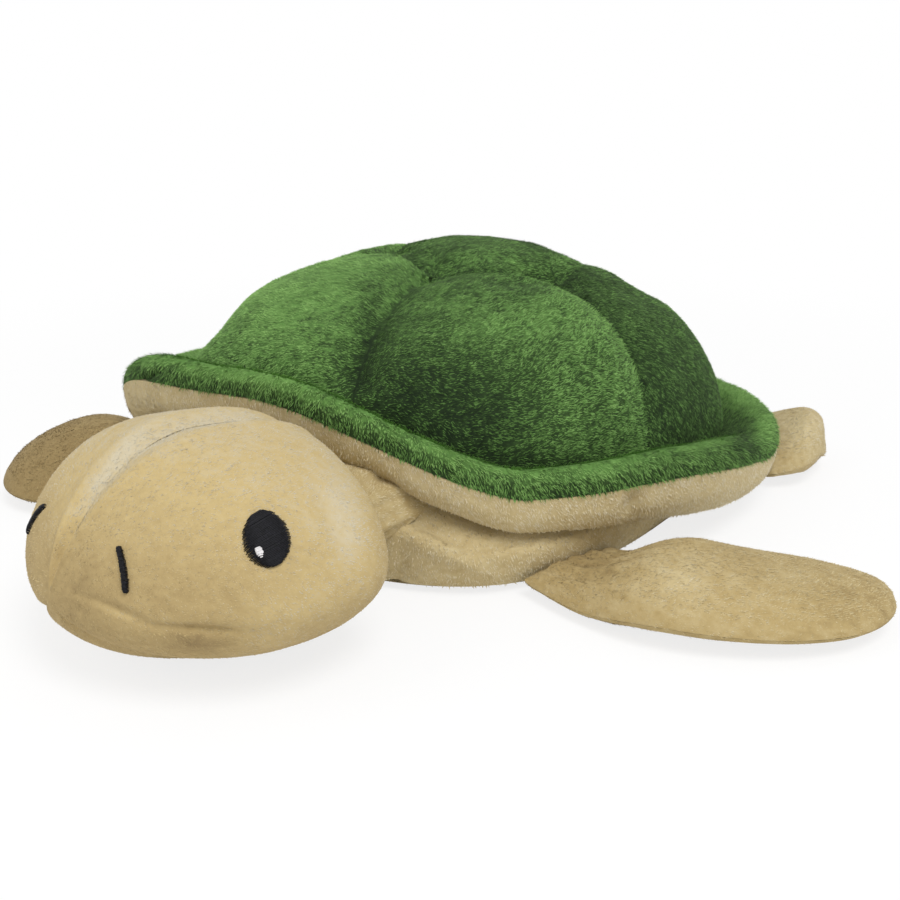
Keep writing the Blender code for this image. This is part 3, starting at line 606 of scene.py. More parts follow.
def tufts(grid, normals, nap, tone, stand, pile, seed):
    """Fibres of the pile as slim triangles: their corners, normals and marks."""
    rng = np.random.default_rng(seed)
    density, length, width, lift, mottle = pile
    a, b, c, d = grid[:-1, :-1], grid[:-1, 1:], grid[1:, 1:], grid[1:, :-1]
    area = 0.5 * np.linalg.norm(np.cross(c - a, d - b), axis=-1).ravel().cumsum()
    count = int(area[-1] * density)
    cells = np.minimum(np.searchsorted(area, rng.random(count) * area[-1]), len(area) - 1)
    row, column = np.divmod(cells, grid.shape[1] - 1)
    s, t = rng.random((2, count, 1))

    def blend(field):
        return mix(mix(field[row, column], field[row, column + 1], s),
                   mix(field[row + 1, column], field[row + 1, column + 1], s), t)

    place, normal, way = blend(grid), unit(blend(normals)), blend(nap)
    own_tone, own_stand = blend(tone[..., None])[:, 0], blend(stand[..., None])[:, 0]
    way = unit(way - normal * (way * normal).sum(-1, keepdims=True))
    side = np.cross(normal, way)
    angle = 0.45 * noise(place, 0.0070, seed) + 0.35 * noise(place, 0.0022, seed + 1)
    angle = angle + 0.25 * rng.normal(size=count)
    rise = lift * (1.0 + 0.47 * noise(place, 0.0031, seed + 2) + 0.30 * rng.normal(size=count))
    rise = np.clip(rise + own_stand, 0.08, 1.4)
    long = length * rng.uniform(0.70, 1.20, count) * (1.0 + 0.35 * np.clip(own_stand, -0.5, 1.0))
    way = way * np.cos(angle)[:, None] + side * np.sin(angle)[:, None]
    across = np.cross(normal, way) * (0.5 * width * rng.uniform(0.7, 1.3, (count, 1)))
    spread = unit(way * np.cos(rise)[:, None] + normal * np.sin(rise)[:, None])
    foot = place - normal * FIBRE_SINK
    corners = np.stack([foot + across, foot - across, foot + spread * long[:, None]], 1)
    lit = unit(normal - FIBRE_LEAN * way + FIBRE_SCATTER * rng.normal(size=(count, 3)))
    lit = np.repeat(lit[:, None], 3, axis=1)
    marks = np.ones((count, 3, 4))
    # painted shade: a fibre's foot is marked low, so it shows darker than its tip
    marks[:, :, 0] = (FIBRE_FOOT_SHADE, FIBRE_FOOT_SHADE, 1.0)
    marks[:, :, 1] = rng.random((count, 1))
    marks[:, :, 2] = np.clip(patches(place, mottle, seed + 3) + own_tone, 0.0, 1.0)[:, None]
    return corners, lit, marks


# the share of the UV map's square that the fibres take
PILE_SHARE = 0.44


def cell_map(count):
    """A place in the UV map for each fibre: cells over its upper part."""
    columns = max(1, math.ceil(math.sqrt(count / PILE_SHARE)))
    rows = math.ceil(count / columns)
    row, column = np.divmod(np.arange(count), columns)
    corners = np.array(((0.10, 0.10), (0.90, 0.10), (0.50, 0.90)))
    size = np.array((1.0 / columns, PILE_SHARE / rows))
    cells = np.stack([column, row], -1)[:, None] + corners
    return cells * size + np.array((0.0, 0.56))


OUTER_MIDDLE, INNER_MIDDLE = (0.5, 0.335), (0.5, 0.055)


def ring_map(middle, radius, angle, tall):
    return np.stack([middle[0] + 0.49 * radius * np.cos(angle),
                     middle[1] + tall * radius * np.sin(angle)], -1)


def cloth(name, grid, finish, nap, pile, turned=False, closed=False, disc=False, tone=None,
          stand=None, thickness=FABRIC, seed=1):
    """A cloth over a grid of rows, with an outer and an inner face, and its pile outside.

    turned says that the rows' normals point inward; disc closes the last row of a ring.
    """
    rows, columns = grid.shape[:2]
    normals = grid_normals(grid, closed, turned)
    tone = np.zeros((rows, columns)) if tone is None else tone + np.zeros((rows, columns))
    stand = np.zeros((rows, columns)) if stand is None else stand + np.zeros((rows, columns))
    nap = np.broadcast_to(nap, grid.shape)
    inner = grid - normals * thickness
    below = rows * columns
    numbers = np.arange(below).reshape(rows, columns)
    fields = [grid, normals, nap, tone, stand]
    if closed:
        numbers = np.concatenate([numbers, numbers[:, :1]], axis=1)
        fields = [np.concatenate([field, field[:, :1]], axis=1) for field in fields]
    wide = numbers.shape[1]
    across, along = np.meshgrid(np.linspace(0.0, 1.0, wide), np.linspace(0.0, 1.0, rows))
    if disc:
        radius, angle = 1.0 - along * (1.0 - 1.0 / rows), across * TAU
        outer_map = ring_map(OUTER_MIDDLE, radius, angle, 0.21)
        inner_map = ring_map(INNER_MIDDLE, radius, angle, 0.045)
    else:
        outer_map = np.stack([0.01 + 0.98 * across, 0.12 + 0.43 * along], -1)
        inner_map = np.stack([0.01 + 0.98 * across, 0.01 + 0.09 * along], -1)

    def cells(table):
        return np.stack([table[:-1, :-1], table[:-1, 1:], table[1:, 1:], table[1:, :-1]], 2)

    quads = [cells(numbers).reshape(-1, 4), cells(numbers).reshape(-1, 4)[:, ::-1] + below]
    maps = [cells(outer_map).reshape(-1, 4, 2), cells(inner_map).reshape(-1, 4, 2)[:, ::-1]]

    def border(line):
        quads.append(np.stack([line[1:], line[:-1], line[:-1] + below, line[1:] + below], -1))
        ends = np.linspace(0.01, 0.99, len(line))
        low, high = np.full(len(line) - 1, 0.105), np.full(len(line) - 1, 0.115)
        maps.append(np.stack([np.stack([ends[1:], low], -1), np.stack([ends[:-1], low], -1),
                              np.stack([ends[:-1], high], -1), np.stack([ends[1:], high], -1)], 1))

    border(numbers[0])
    if not disc:
        border(numbers[-1][::-1])
    if not closed:
        border(numbers[::-1, 0])
        border(numbers[:, -1])
    quads, maps = np.concatenate(quads), np.concatenate(maps)
    corners, lit, tuft_marks = tufts(*fields, pile, seed)
    count = len(corners)
    points = np.concatenate([grid.reshape(-1, 3), inner.reshape(-1, 3), corners.reshape(-1, 3)])
    points[:, 2] = np.maximum(points[:, 2], 0.0)
    shading = np.concatenate([normals.reshape(-1, 3), -normals.reshape(-1, 3), lit.reshape(-1, 3)])
    # painted shade: the backing cloth is marked as a fibre's foot, and darkened further
    marks = np.ones((2 * below, 4))
    marks[:, 0] = FIBRE_FOOT_SHADE
    marks[:, 1] = 0.5
    backing = np.tile((patches(grid, pile[4], seed + 3) + tone).ravel(), 2)
    marks[:, 2] = np.clip(backing - BACKING_SHADE, 0.0, 1.0)
    triangles = 2 * below + np.arange(3 * count).reshape(-1, 3)
    tri_maps = cell_map(count)
    if turned:
        quads, maps = quads[:, ::-1], maps[:, ::-1]
    if disc:
        middles = np.stack([grid[-1].mean(0), inner[-1].mean(0)])
        centre = len(points)
        points = np.concatenate([points, middles])
        shading = np.concatenate([shading, [normals[-1].mean(0), -normals[-1].mean(0)]])
        last, ends = numbers[-1], outer_map[-1]
        fan = np.stack([last[:-1], last[1:], np.full(wide - 1, centre)], -1)
        fan_map = np.stack([ends[:-1], ends[1:], np.broadcast_to(OUTER_MIDDLE, (wide - 1, 2))], 1)
        under = np.stack([last[1:] + below, last[:-1] + below, np.full(wide - 1, centre + 1)], -1)
        ends = inner_map[-1]
        under_map = np.stack([ends[1:], ends[:-1], np.broadcast_to(INNER_MIDDLE, (wide - 1, 2))], 1)
        if turned:
            fan, fan_map = fan[:, ::-1], fan_map[:, ::-1]
            under, under_map = under[:, ::-1], under_map[:, ::-1]
        triangles = np.concatenate([fan, under, triangles])
        tri_maps = np.concatenate([fan_map, under_map, tri_maps])
        all_marks = [marks, tuft_marks.reshape(-1, 4), np.tile(marks[below - 1], (2, 1))]
    else:
        all_marks = [marks, tuft_marks.reshape(-1, 4)]
    mesh = bpy.data.meshes.new(name)
    mesh.vertices.add(len(points))
    mesh.vertices.foreach_set("co", points.astype(np.float32).ravel())
    order = np.concatenate([quads.ravel(), triangles.ravel()]).astype(np.int32)
    starts = np.concatenate([4 * np.arange(len(quads)),
                             4 * len(quads) + 3 * np.arange(len(triangles))])
    mesh.loops.add(len(order))
    mesh.loops.foreach_set("vertex_index", order)
    mesh.polygons.add(len(starts))
    mesh.polygons.foreach_set("loop_start", starts.astype(np.int32))
    mesh.update(calc_edges=True)
    baked = mesh.uv_layers.new(name="OFBake")
    where = np.concatenate([maps.reshape(-1, 2), tri_maps.reshape(-1, 2)]).astype(np.float32)
    baked.uv.foreach_set("vector", where.ravel())
    colours = mesh.color_attributes.new("pile", "FLOAT_COLOR", "POINT")
    colours.data.foreach_set("color", np.concatenate(all_marks).astype(np.float32).ravel())
    mesh.shade_smooth()
    mesh.normals_split_custom_set_from_vertices(unit(shading).tolist())
    mesh.materials.append(finish)
    return new_object(name, mesh)


def dress(piece, body, slot_name, *nodes, fill=0.6):
    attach(piece, body)
    if nodes:
        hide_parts(*nodes)


def ways(grid, closed=False):
    """Unit steps along and across the rows of a grid."""
    return unit(steps_around(grid, closed)), unit(np.gradient(grid, axis=0))


# Fibres: how many for each square metre, their length and width, how steeply they stand
# on the cloth, and how mottled they are
SHELL_PILE = (2.8e6, 0.0015, 0.00037, 0.34, 1.0)
RIM_PILE = (2.6e6, 0.0017, 0.00038, 0.46, 0.9)
UNDER_PILE = (1.7e6, 0.0013, 0.00040, 0.36, 0.55)
HEAD_PILE = (2.0e6, 0.0011, 0.00036, 0.19, 0.40)
BODY_PILE = (1.3e6, 0.0012, 0.00042, 0.32, 0.60)
BELLY_PILE = (0.35e6, 0.0010, 0.00055, 0.20, 0.50)
FLIPPER_PILE = (1.8e6, 0.0012, 0.00038, 0.32, 0.60)
NECK_PILE = (0.6e6, 0.0008, 0.0005, 0.3, 0.5)

# Hollows and folds as (height in metres, x, y, width and height in pixels, tilt, how far past
# the outline); painted light and shade as (amount, x, y, width and height in pixels, tilt)

# dome
DOME_MARKS = (
    (-0.0018, 506.0, 392.0, 46.0, 22.0, 12.0),
    (0.0012, 566.0, 352.0, 46.0, 14.0, -28.0),
    (-0.0012, 560.0, 318.0, 40.0, 12.0, -6.0),
    (-0.0014, 430.0, 300.0, 34.0, 14.0, -35.0),
    (0.0010, 300.0, 300.0, 60.0, 14.0, -24.0),
    (-0.0022, 634.0, 284.0, 30.0, 20.0, 16.0, 0.3),
    (-0.0036, 212.0, 335.0, 26.0, 44.0, 20.0, 0.3),
    (-0.0024, 512.0, 278.0, 46.0, 8.0, 3.0),
    (-0.0016, 398.0, 248.0, 20.0, 7.0, 8.0),
    (0.0008, 470.0, 255.0, 40.0, 8.0, 0.0),
)
# painted light and shade on the dome's pile, with painted shade in the seam valleys and the low
# middle of the dome
DOME_LIGHT_SHADE = (
    (-0.50, 440.0, 405.0, 90.0, 48.0, 14.0),
    (-0.24, 372.0, 325.0, 15.0, 62.0, 8.0),
    (0.12, 520.0, 322.0, 60.0, 18.0, -8.0),
    (0.04, 590.0, 415.0, 36.0, 26.0, -20.0),
    (-0.16, 505.0, 455.0, 70.0, 12.0, 14.0),
    (-0.14, 690.0, 420.0, 34.0, 50.0, 0.0),
    (0.12, 290.0, 310.0, 66.0, 46.0, -24.0),
    (-0.26, 512.0, 281.0, 52.0, 9.0, 3.0),
    (-0.14, 346.0, 372.0, 20.0, 16.0, 0.0),
)


def light_and_shade(grid, marks, closed=False, turned=False):
    """Painted light and shade: how much lighter or darker the pile is at places in the photograph.
    """
    normals = grid_normals(grid, closed, turned)
    return sum((amount * photo_bell(grid, normals, *where) for amount, *where in marks),
               np.zeros(grid.shape[:2]))


SEAM_SHADE, SEAM_FLUFF, SHELL_CLOTH = 0.0022, 0.0045, 0.0008
# of each side panel: the nap around and down it, and its tone, painted light and shade as the panel
# catches the light
NAPS = ((0.95, -0.10), (0.35, 0.80), (0.6, 0.6), (-0.4, 0.8), (-0.75, 0.55))
PANEL_LIGHT_SHADE = (0.10, -0.12, -0.04, 0.02, 0.26)
for number, side in enumerate(("front_left", "rear_left", "rear", "rear_right", "front_right")):
    shares = 0.5 - 0.5 * np.cos(np.linspace(0.045, math.pi - 0.045, 70))
    places, climbs = np.meshgrid(number + shares, np.linspace(0.0, 0.9992, 50))
    grid, nearest = dome_point(places, climbs)
    grid = shaped(grid, DOME_MARKS, seed=3)
    around, up = ways(grid)
    round_nap, down_nap = NAPS[number]
    nap = around * round_nap - up * down_nap
    # painted light makes the panel lighter higher up, painted shade darkens it along the seams, and
    # painted light and shade lie at places
    tone = PANEL_LIGHT_SHADE[number] + 0.10 * (climbs - 0.5) - 0.10 * bell(nearest, SEAM_SHADE)
    tone = tone + light_and_shade(grid, DOME_LIGHT_SHADE)
    piece = cloth(side + "_shell_plush", grid, LEAF, nap, SHELL_PILE, tone=tone,
                  stand=0.1 * bell(nearest, SEAM_FLUFF), thickness=SHELL_CLOTH, seed=20 + number)
    dress(piece, "body", "leaf_plush", side + "_shell_panel")
places, climbs = np.meshgrid(np.linspace(0.0, 5.0, 220, endpoint=False),
                             np.concatenate([[1.001, 1.015], np.linspace(1.04, 1.97, 34)]))
grid, nearest = dome_point(places, climbs)
grid = shaped(grid, DOME_MARKS, closed=True, seed=3)
# painted shade darkens the crown along its seam, and painted light and shade lie at places
piece = cloth("top_shell_plush", grid, LEAF, (0.70, 0.35, 0.0), SHELL_PILE, closed=True, disc=True,
              tone=0.08 - 0.08 * bell(nearest, SEAM_SHADE) + light_and_shade(grid, DOME_LIGHT_SHADE, True),
              stand=0.1 * bell(nearest, SEAM_FLUFF), thickness=SHELL_CLOTH, seed=31)
dress(piece, "body", "deep_leaf_plush", "top_shell_panel", "body_stuffing")

# rim
turns = FRONT + np.linspace(0.0, 1.0, 360, endpoint=False) * TAU
upper, lower = rim_lines(turns)
RIM_MARKS = (
    (-0.0022, 150.0, 375.0, 13.0, 3.5, -22.0),
    (-0.0010, 640.0, 470.0, 12.0, 8.0, 60.0),
    (-0.0012, 752.0, 436.0, 10.0, 16.0, 20.0),
)
shares = np.linspace(0.0, 1.0, 26)
# painted light and shade on the rim: light on its left crest, shade in the hollow at its right,
# along its right side and in the fold at its left lobe
RIM_LIGHT_SHADE = (
    (0.16, 225.0, 372.0, 80.0, 14.0, 6.0),
    (-0.60, 744.0, 438.0, 12.0, 18.0, 20.0),
    (-0.20, 690.0, 455.0, 60.0, 6.0, -6.0),
    (-0.25, 160.0, 372.0, 14.0, 6.0, -20.0),
)
grid = shaped(spline(upper, shares), RIM_MARKS, closed=True, turned=True, seed=12)
around, out = ways(grid, closed=True)
# painted light on the crest of the roll, painted shade on its outer fall and in the valley at the
# dome's foot
crest_light_shade = 0.30 * bell(shares - 0.52, 0.26) - 0.22 * smooth((shares - 0.76) / 0.16)
crest_light_shade = crest_light_shade - 0.24 * bell(shares, 0.20)
piece = cloth("rim_top_plush", grid, LEAF, out * 0.8 + around * 0.2, RIM_PILE, closed=True,
              turned=True, tone=0.16 + crest_light_shade[:, None] + light_and_shade(grid, RIM_LIGHT_SHADE, True, True), seed=41)
dress(piece, "body", "leaf_plush", "rim_top")
UNDER_MARKS = (
    (-0.0030, 634.0, 506.0, 9.0, 16.0, 20.0),
    (-0.0012, 380.0, 478.0, 30.0, 6.0, 34.0),
)
grid = spline(lower, np.linspace(0.0, 1.0, 28))
grid = shaped(grid, UNDER_MARKS, closed=True, turned=True, seed=14)
around, inward = ways(grid, closed=True)
# painted light: the rim's underside, which faces down, is set lighter all over
piece = cloth("rim_underside_plush", grid, SAND, inward * 0.7 + around * 0.4, UNDER_PILE,
              closed=True, turned=True, tone=0.26, seed=43)
dress(piece, "body", "sand_plush", "rim_underside", "rim_wadding")

# body
BODY_MARKS = (
    (-0.0016, 430.0, 528.0, 60.0, 7.0, 30.0),
    (0.0014, 440.0, 548.0, 60.0, 9.0, 26.0),
    (-0.0012, 500.0, 545.0, 40.0, 6.0, -8.0),
    (-0.0012, 400.0, 560.0, 9.0, 30.0, 10.0),
)
for side, first, seed in (("left", FRONT, 51), ("right", -FRONT, 52)):
    turns = first + np.linspace(0.0006, 0.9994, 170) * math.pi
    grid = shaped(spline(body_lines(turns), np.linspace(0.0, 1.0, 30)), BODY_MARKS, seed=seed)
    around, up = ways(grid)
    # painted light: the body's sides, in the rim's shade, are set lighter all over
    piece = cloth(side + "_body_plush", grid, SAND, -up + 0.3 * around, BODY_PILE, tone=0.24,
                  seed=seed)
    dress(piece, "body", "sand_plush", side + "_body_panel")
turns = FRONT + np.linspace(0.0, 1.0, 200, endpoint=False) * TAU
edge = body_lines(turns)[0] - np.array((0.0, 0.0, 0.0004))
flat = body_outline(turns, BELLY_FLAT_INSET)
middle = np.array((0.0, BODY_SHIFT, 0.0))
grid = np.stack([edge, mix(edge, flat, 0.55) * np.array((1.0, 1.0, 0.25)), flat]
                + [mix(flat, middle, share) for share in np.linspace(0.1, 0.96, 12)])
piece = cloth("belly_plush", grid + np.array((0.0, 0.0, 0.0003)), SAND, (0.0, 1.0, 0.0), BELLY_PILE,
              closed=True, disc=True, turned=True, seed=55)
dress(piece, "body", "sand_plush", "belly_panel")

# neck
angles, polar = np.meshgrid(np.linspace(0.0, 1.0, 64, endpoint=False) * TAU,
                            np.linspace(0.10, 3.04, 34))
ball = np.array((0.0, NECK_BEHIND, 0.0)) + (NECK_RADIUS - 0.0008) * xyz(
    np.sin(polar) * np.cos(angles), np.sin(polar) * np.sin(angles), -np.cos(polar))
grid = shaped(from_head(ball), closed=True, lumps=0.0001)
piece = cloth("neck_plush", grid, SAND, (0.0, 1.0, 0.0), NECK_PILE, closed=True, thickness=0.001,
              seed=57)
dress(piece, "neck", "sand_plush", "neck_cushion")


def front_wall(x, z):
    """How far forward the front of the body reaches, at a place across and up."""
    lines = body_lines(FRONT + np.linspace(-0.6, 0.6, 121))
    wall = spline(lines, np.linspace(0.0, 1.0, 60)).reshape(-1, 3)
    away = np.hypot(wall[:, 0] - np.ravel(x)[:, None], wall[:, 2] - np.ravel(z)[:, None])
    near = np.argsort(away, axis=1)[:, :6]
    weight = 1.0 / (np.take_along_axis(away, near, 1) + 0.0002)
    return (wall[near, 1] * weight).sum(1) / weight.sum(1)


# a soft sleeve over the neck cushion, from the body's front to the head's back
angles = np.linspace(0.0, 1.0, 96, endpoint=False) * TAU
body_end = xyz(0.0235 - 0.0280 * np.sin(angles), 0.0, 0.0270 + 0.0140 * np.cos(angles))
body_end[:, 1] = front_wall(body_end[:, 0], body_end[:, 2]) + 0.0006
head_end = from_head(xyz(-0.0265 * np.sin(angles), 0.0338, 0.0180 * np.cos(angles) - 0.0010))
shares = np.linspace(0.0, 1.0, 22)
outward = unit(head_end - head_end.mean(0))
fold = -0.0022 + 0.0008 * np.sin(11.0 * angles + 1.0) + 0.0005 * np.sin(17.0 * angles)
grid = mix(body_end[None], head_end[None], shares[:, None, None])
grid = grid + (np.sin(math.pi * shares)[:, None] * fold[None, :])[..., None] * outward[None]
piece = cloth("neck_sleeve_plush", grid, SAND, (0.0, 1.0, 0.0), BODY_PILE, closed=True, tone=0.10,
              thickness=0.0006, seed=58)
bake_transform(piece)

# head
HEAD_MARKS = (
    (-0.0018, 205.0, 630.0, 46.0, 4.5, 4.0),
    (-0.0010, 120.0, 612.0, 40.0, 5.0, 24.0),
    (-0.0009, 182.0, 447.0, 12.0, 3.0, 38.0),
    (-0.0008, 330.0, 520.0, 9.0, 50.0, -22.0),
    (0.0008, 365.0, 540.0, 16.0, 50.0, -12.0),
)
# painted light and shade on the head: shade under the chin, on the nose and on the far side, light
# on the lower and rear cheek
HEAD_LIGHT_SHADE = (
    (-0.30, 196.0, 642.0, 34.0, 12.0),
    (-0.10, 170.0, 540.0, 60.0, 60.0),
    (0.20, 108.0, 470.0, 9.0, 70.0, 40.0),
    (-0.16, 85.0, 590.0, 34.0, 50.0),
    (-0.10, 45.0, 540.0, 26.0, 60.0),
    (0.26, 300.0, 606.0, 76.0, 30.0, -30.0),
    (0.24, 350.0, 530.0, 26.0, 64.0, -20.0),
)
for name, first, last, nodes, seed in (
        ("left_head_plush", 0.0015, CHIN_TURN - 0.002, ("left_head_panel", "head_stuffing"), 61),
        ("chin_plush", CHIN_TURN + 0.002, TAU - CHIN_TURN - 0.002, ("chin_panel",), 62),
        ("right_head_plush", TAU - CHIN_TURN + 0.002, TAU - 0.0015, ("right_head_panel",), 63)):
    turns = np.linspace(first, last, int(44 * (last - first)))
    grid = shaped(head_rows(turns), HEAD_MARKS, lumps=0.00025, seed=seed)
    distance = head_seam_distance(turns)[None, :] + np.zeros(grid.shape[:2])
    on_top = np.minimum(np.abs(turns), np.abs(turns - TAU))[None, :] * HEAD_WIDE
    on_top = on_top + np.zeros(grid.shape[:2])
    around, back = ways(grid)
    normals = grid_normals(grid, False, False)
    nap = back * 0.8 + np.array((0.0, 0.0, -0.6))
    # painted light: the pile is lighter where the cloth faces up and along the top seam; painted
    # light and shade lie at places
    tone = 0.34 * smooth(normals[..., 2] * 1.2 - 0.2) + 0.16 * bell(on_top, 0.006) - 0.04
    tone = tone + light_and_shade(grid, HEAD_LIGHT_SHADE)
    stand = 0.12 * bell(on_top, 0.0035) + 0.05 * bell(distance, 0.003)
    piece = cloth(name, grid, PALE, nap, HEAD_PILE, tone=tone, stand=stand, seed=seed)
    dress(piece, "head", "pale_sand_plush", *nodes)

# flippers
# painted light and shade on the flippers: shade on the far front flipper, at the near one's tip and
# where it passes under the rim, light on the near one and the left hind flipper
FLIPPER_OVERALL_LIGHT_SHADE = (-0.02, -0.24, 0.14, 0.06)
FLIPPER_LIGHT_SHADE = (
    (0.20, 680.0, 580.0, 46.0, 30.0, 8.0),
    (-0.14, 850.0, 605.0, 46.0, 20.0, 4.0),
    (-0.24, 592.0, 566.0, 34.0, 10.0, 10.0),
    (0.20, 800.0, 430.0, 26.0, 20.0, 0.0),
    (-0.34, 48.0, 470.0, 60.0, 46.0, 0.0),
)
for index, name in enumerate(FLIPPERS):
    across = np.sin(np.linspace(-0.5, 0.5, 38) * math.pi)
    middles, lifts, along, shares = flipper_grid(name, across)
    side = name.split("_")[0]
    body = name + "_flipper"
    gather = 0.0007 * np.sin(across[None, :] * 17.0 + 6.0 * shares) * bell(shares - 0.10, 0.16)
    for layer, sign in (("upper", 1.0), ("lower", -1.0)):
        grid = middles.copy()
        grid[..., 2] += sign * (lifts + 0.00005 + gather * (lifts > 0.002))
        grid[..., 2] -= 0.30 * lifts.max(axis=1, keepdims=True) * np.abs(across) ** 6
        nap = along.copy()
        if side == "right":
            grid[..., 0] *= -1.0
            nap[..., 0] *= -1.0
        turned = (sign < 0) != (side == "right")
        grid = shaped(grid, turned=turned, lumps=0.0003, seed=70 + index)
        if sign < 0:
            grid[..., 2] = np.maximum(grid[..., 2], 0.0006)
        # painted light and shade on each flipper, all over and at places
        tone = FLIPPER_OVERALL_LIGHT_SHADE[index] + light_and_shade(grid, FLIPPER_LIGHT_SHADE, False, turned)
        stand = -0.2 * (np.abs(across) > 0.9)[None, :]
        piece = cloth(body + "_" + layer + "_plush", grid, SAND, nap, FLIPPER_PILE, turned=turned,
                      tone=tone, stand=stand, thickness=0.0004, seed=80 + 2 * index + (sign > 0))
        nodes = [body + "_" + layer + "_panel"] + ([body + "_stuffing"] if sign > 0 else [])
        dress(piece, body, "sand_plush", *nodes)


# Face

def head_rates(along, turn):
    """Steps of the head's surface along it and around it, and its normal."""
    down = head_local(along + NUDGE, turn) - head_local(along - NUDGE, turn)
    around = head_local(along, turn + NUDGE) - head_local(along, turn - NUDGE)
    return down / (2 * NUDGE), around / (2 * NUDGE), unit(np.cross(around, down))


def face_spot(along, turn, left, across, upward, height):
    """Points of the face at distances across (to the back) and upward from a spot of one side."""
    along, turn = np.array(along), np.array(turn)
    down, around, _ = head_rates(along, turn)
    a = along + across / np.linalg.norm(down)
    t = turn - upward / np.linalg.norm(around)
    local = head_local(a, t) + head_rates(a, t)[2] * np.asarray(height)[..., None]
    if not left:
        local = local * np.array((-1.0, 1.0, 1.0))
    return from_head(local)


THREAD_PITCH = 0.00036


def stitches(name, along, turn, left, half_wide, half_tall, tilt, height, seed, finish, lean=0.0,
             ragged=0.35, square=2.0):
    """Satin stitches: flat threads side by side over an oval, with uneven ends."""
    rng = np.random.default_rng(seed)
    count = int(2 * half_tall / THREAD_PITCH)
    points, faces = [], []
    for k in range(count):
        level = -half_tall + (k + 0.5 + rng.normal(0.0, 0.06)) * THREAD_PITCH
        reach = half_wide * max(0.02, 1.0 - abs(level / half_tall) ** square) ** (1.0 / square)
        first = -reach - rng.uniform(-0.2, ragged) * 0.0005
        last = reach + rng.uniform(-0.2, ragged) * 0.0005
        shares = np.linspace(0.0, 1.0, 9)
        run = mix(first, last, shares)
        rise = level + lean * run + rng.normal(0.0, 0.10) * THREAD_PITCH * np.sin(shares * 3.1)
        across = run * math.cos(tilt) - rise * math.sin(tilt)
        upward = run * math.sin(tilt) + rise * math.cos(tilt)
        shoulder = np.sqrt(np.maximum(0.0, 1.0 - (2 * shares - 1) ** 4))
        crown = height * max(0.0, 1.0 - abs(level / half_tall) ** square) ** 0.3
        angles = np.arange(6) * TAU / 6
        off = THREAD_PITCH * 0.62 * np.cos(angles)[None, :] * (0.35 + 0.65 * shoulder)[:, None]
        lift = (crown * shoulder)[:, None] + 0.0002 * np.sin(angles)[None, :]
        spots = face_spot(along, turn, left, across[:, None] - off * math.sin(tilt),
                          upward[:, None] + off * math.cos(tilt), lift)
        start = sum(len(block) for block in points)
        points.append(spots.reshape(-1, 3))
        for i in range(len(shares) - 1):
            for j in range(6):
                a, b = start + i * 6 + j, start + i * 6 + (j + 1) % 6
                faces.append((a, b, b + 6, a + 6))
        faces.append(tuple(start + j for j in range(5, -1, -1)))
        faces.append(tuple(start + (len(shares) - 1) * 6 + j for j in range(6)))
    if not left:
        faces = [face[::-1] for face in faces]
    mesh = bpy.data.meshes.new(name)
    mesh.from_pydata(np.concatenate(points).tolist(), [], faces)
    mesh.validate()
    mesh.shade_smooth()
    mesh.materials.append(finish)
    return new_object(name, mesh)


for side, eye_turn, seed in (("left", 61.0, 11), ("right", 67.0, 12)):
    left = side == "left"
    piece = stitches(side + "_eye_satin", 0.438, math.radians(eye_turn), left, 0.0061, 0.0073, 0.0,
                     0.0016, seed, BLACK, lean=0.25, ragged=0.9)
    dress(piece, "head", "black_thread", side + "_eye", fill=0)
    piece = stitches(side + "_eye_glint_satin", 0.414, math.radians(eye_turn + 4.5), left, 0.0011,
                     0.0014, 0.0, 0.0023, seed + 20, WHITE, lean=0.1)
    dress(piece, "head", "white_thread", side + "_eye_glint", fill=0)
    piece = stitches(side + "_nostril_satin", 0.202, math.radians(53.0), left, 0.0008, 0.0066,
                     math.radians(-18.0), 0.0011, seed + 40, BLACK, square=6.0)
    dress(piece, "head", "black_thread", side + "_nostril", fill=0)


# Floor and light

FLOOR_SIZE = 6.0
# distances between which the floor's glow rises to full, and its share near the turtle
FLOOR_FADE = (0.16, 0.42, 0.80)
AMBIENT = 0.56
LAMP_TARGET = (0.0, 0.0, 0.03)


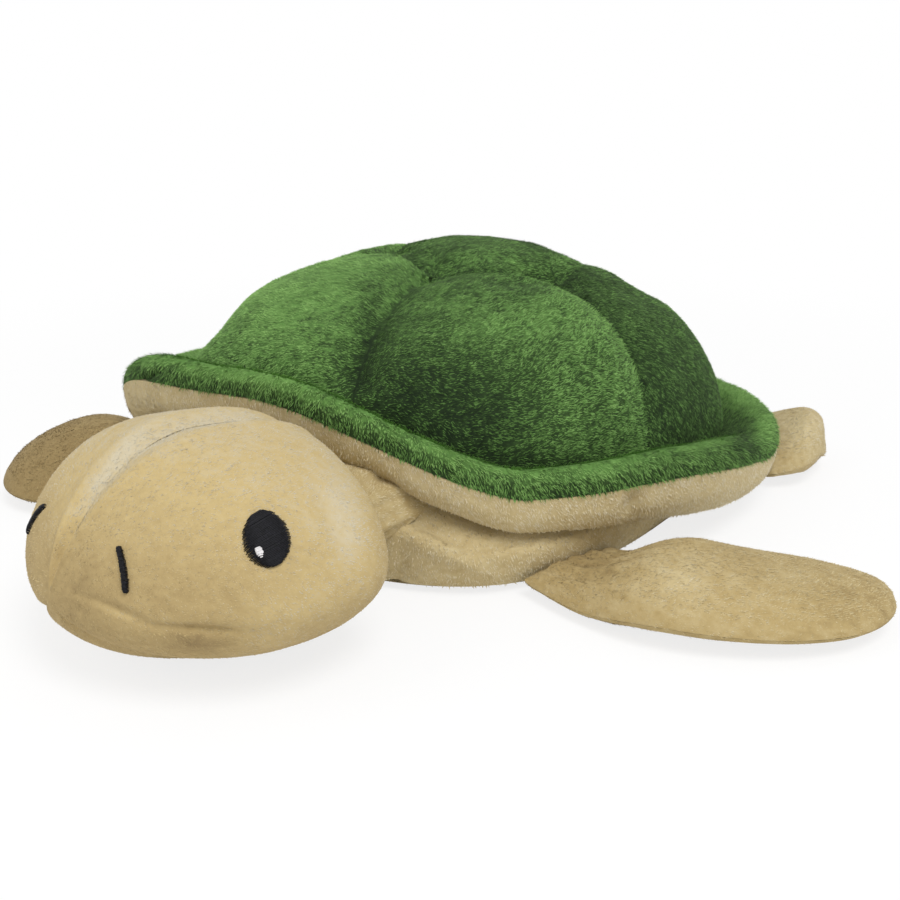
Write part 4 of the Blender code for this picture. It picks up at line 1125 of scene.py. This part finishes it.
def make_floor():
    """A white floor that keeps the turtle's shadow, and shows white where none falls."""
    mesh = bpy.data.meshes.new("floor")
    sides = ((-1.0, -1.0), (1.0, -1.0), (1.0, 1.0), (-1.0, 1.0))
    mesh.from_pydata([(x * FLOOR_SIZE, y * FLOOR_SIZE, 0.0) for x, y in sides], [], [(0, 1, 2, 3)])
    made = new_object("floor", mesh)
    finish, tree, shader = new_material("floor", 1.0)
    link = tree.links.new
    shader.inputs["Base Color"].default_value = (0.92, 0.92, 0.92, 1.0)
    shader.inputs["Specular IOR Level"].default_value = 0.0
    glow = node(tree, "ShaderNodeEmission", Color=(1.0, 1.0, 1.0, 1.0), Strength=1.0)
    path = node(tree, "ShaderNodeLightPath")
    place = node(tree, "ShaderNodeTexCoord")
    away = node(tree, "ShaderNodeVectorMath", operation="LENGTH")
    link(place.outputs["Object"], away.inputs[0])
    fade = node(tree, "ShaderNodeMapRange", interpolation_type="SMOOTHSTEP")
    near, far, near_glow = FLOOR_FADE
    for key, value in (("From Min", near), ("From Max", far), ("To Min", near_glow)):
        fade.inputs[key].default_value = value
    fade.inputs["To Max"].default_value = 1.0
    link(away.outputs["Value"], fade.inputs["Value"])
    share = node(tree, "ShaderNodeMath", operation="MULTIPLY")
    link(path.outputs["Is Camera Ray"], share.inputs[0])
    link(fade.outputs["Result"], share.inputs[1])
    blend = tree.nodes.new("ShaderNodeMixShader")
    link(share.outputs["Value"], blend.inputs["Fac"])
    link(shader.outputs[0], blend.inputs[1])
    link(glow.outputs[0], blend.inputs[2])
    link(blend.outputs[0], tree.nodes["Material Output"].inputs["Surface"])
    mesh.materials.append(finish)


def lamp(name, place, target, size, power):
    data = bpy.data.lights.new(name, "AREA")
    data.shape = "DISK"
    data.size = size
    data.energy = power
    made = new_object(name, data)
    made.location = place
    aim = Vector(target) - Vector(place)
    made.rotation_euler = aim.to_track_quat("-Z", "Y").to_euler()


def make_world():
    made = bpy.data.worlds.new("studio")
    bpy.context.scene.world = made
    made.use_nodes = True
    tree, link = made.node_tree, made.node_tree.links.new
    background = tree.nodes["Background"]
    background.inputs["Color"].default_value = (1.0, 1.0, 1.0, 1.0)
    background.inputs["Strength"].default_value = AMBIENT
    plain = node(tree, "ShaderNodeBackground", Color=(1.0, 1.0, 1.0, 1.0), Strength=1.0)
    path = node(tree, "ShaderNodeLightPath")
    either = node(tree, "ShaderNodeMath", operation="MAXIMUM")
    link(path.outputs["Is Camera Ray"], either.inputs[0])
    link(path.outputs["Is Glossy Ray"], either.inputs[1])
    blend = tree.nodes.new("ShaderNodeMixShader")
    link(either.outputs[0], blend.inputs["Fac"])
    link(background.outputs[0], blend.inputs[1])
    link(plain.outputs[0], blend.inputs[2])
    link(blend.outputs[0], tree.nodes["World Output"].inputs["Surface"])


make_floor()
make_world()
lamp("key", (0.75, -0.50, 1.35), LAMP_TARGET, 0.8, 15.0)
lamp("fill", (-0.70, -1.10, 0.90), LAMP_TARGET, 1.2, 4.0)
bpy.context.scene.view_settings.view_transform = "Standard"
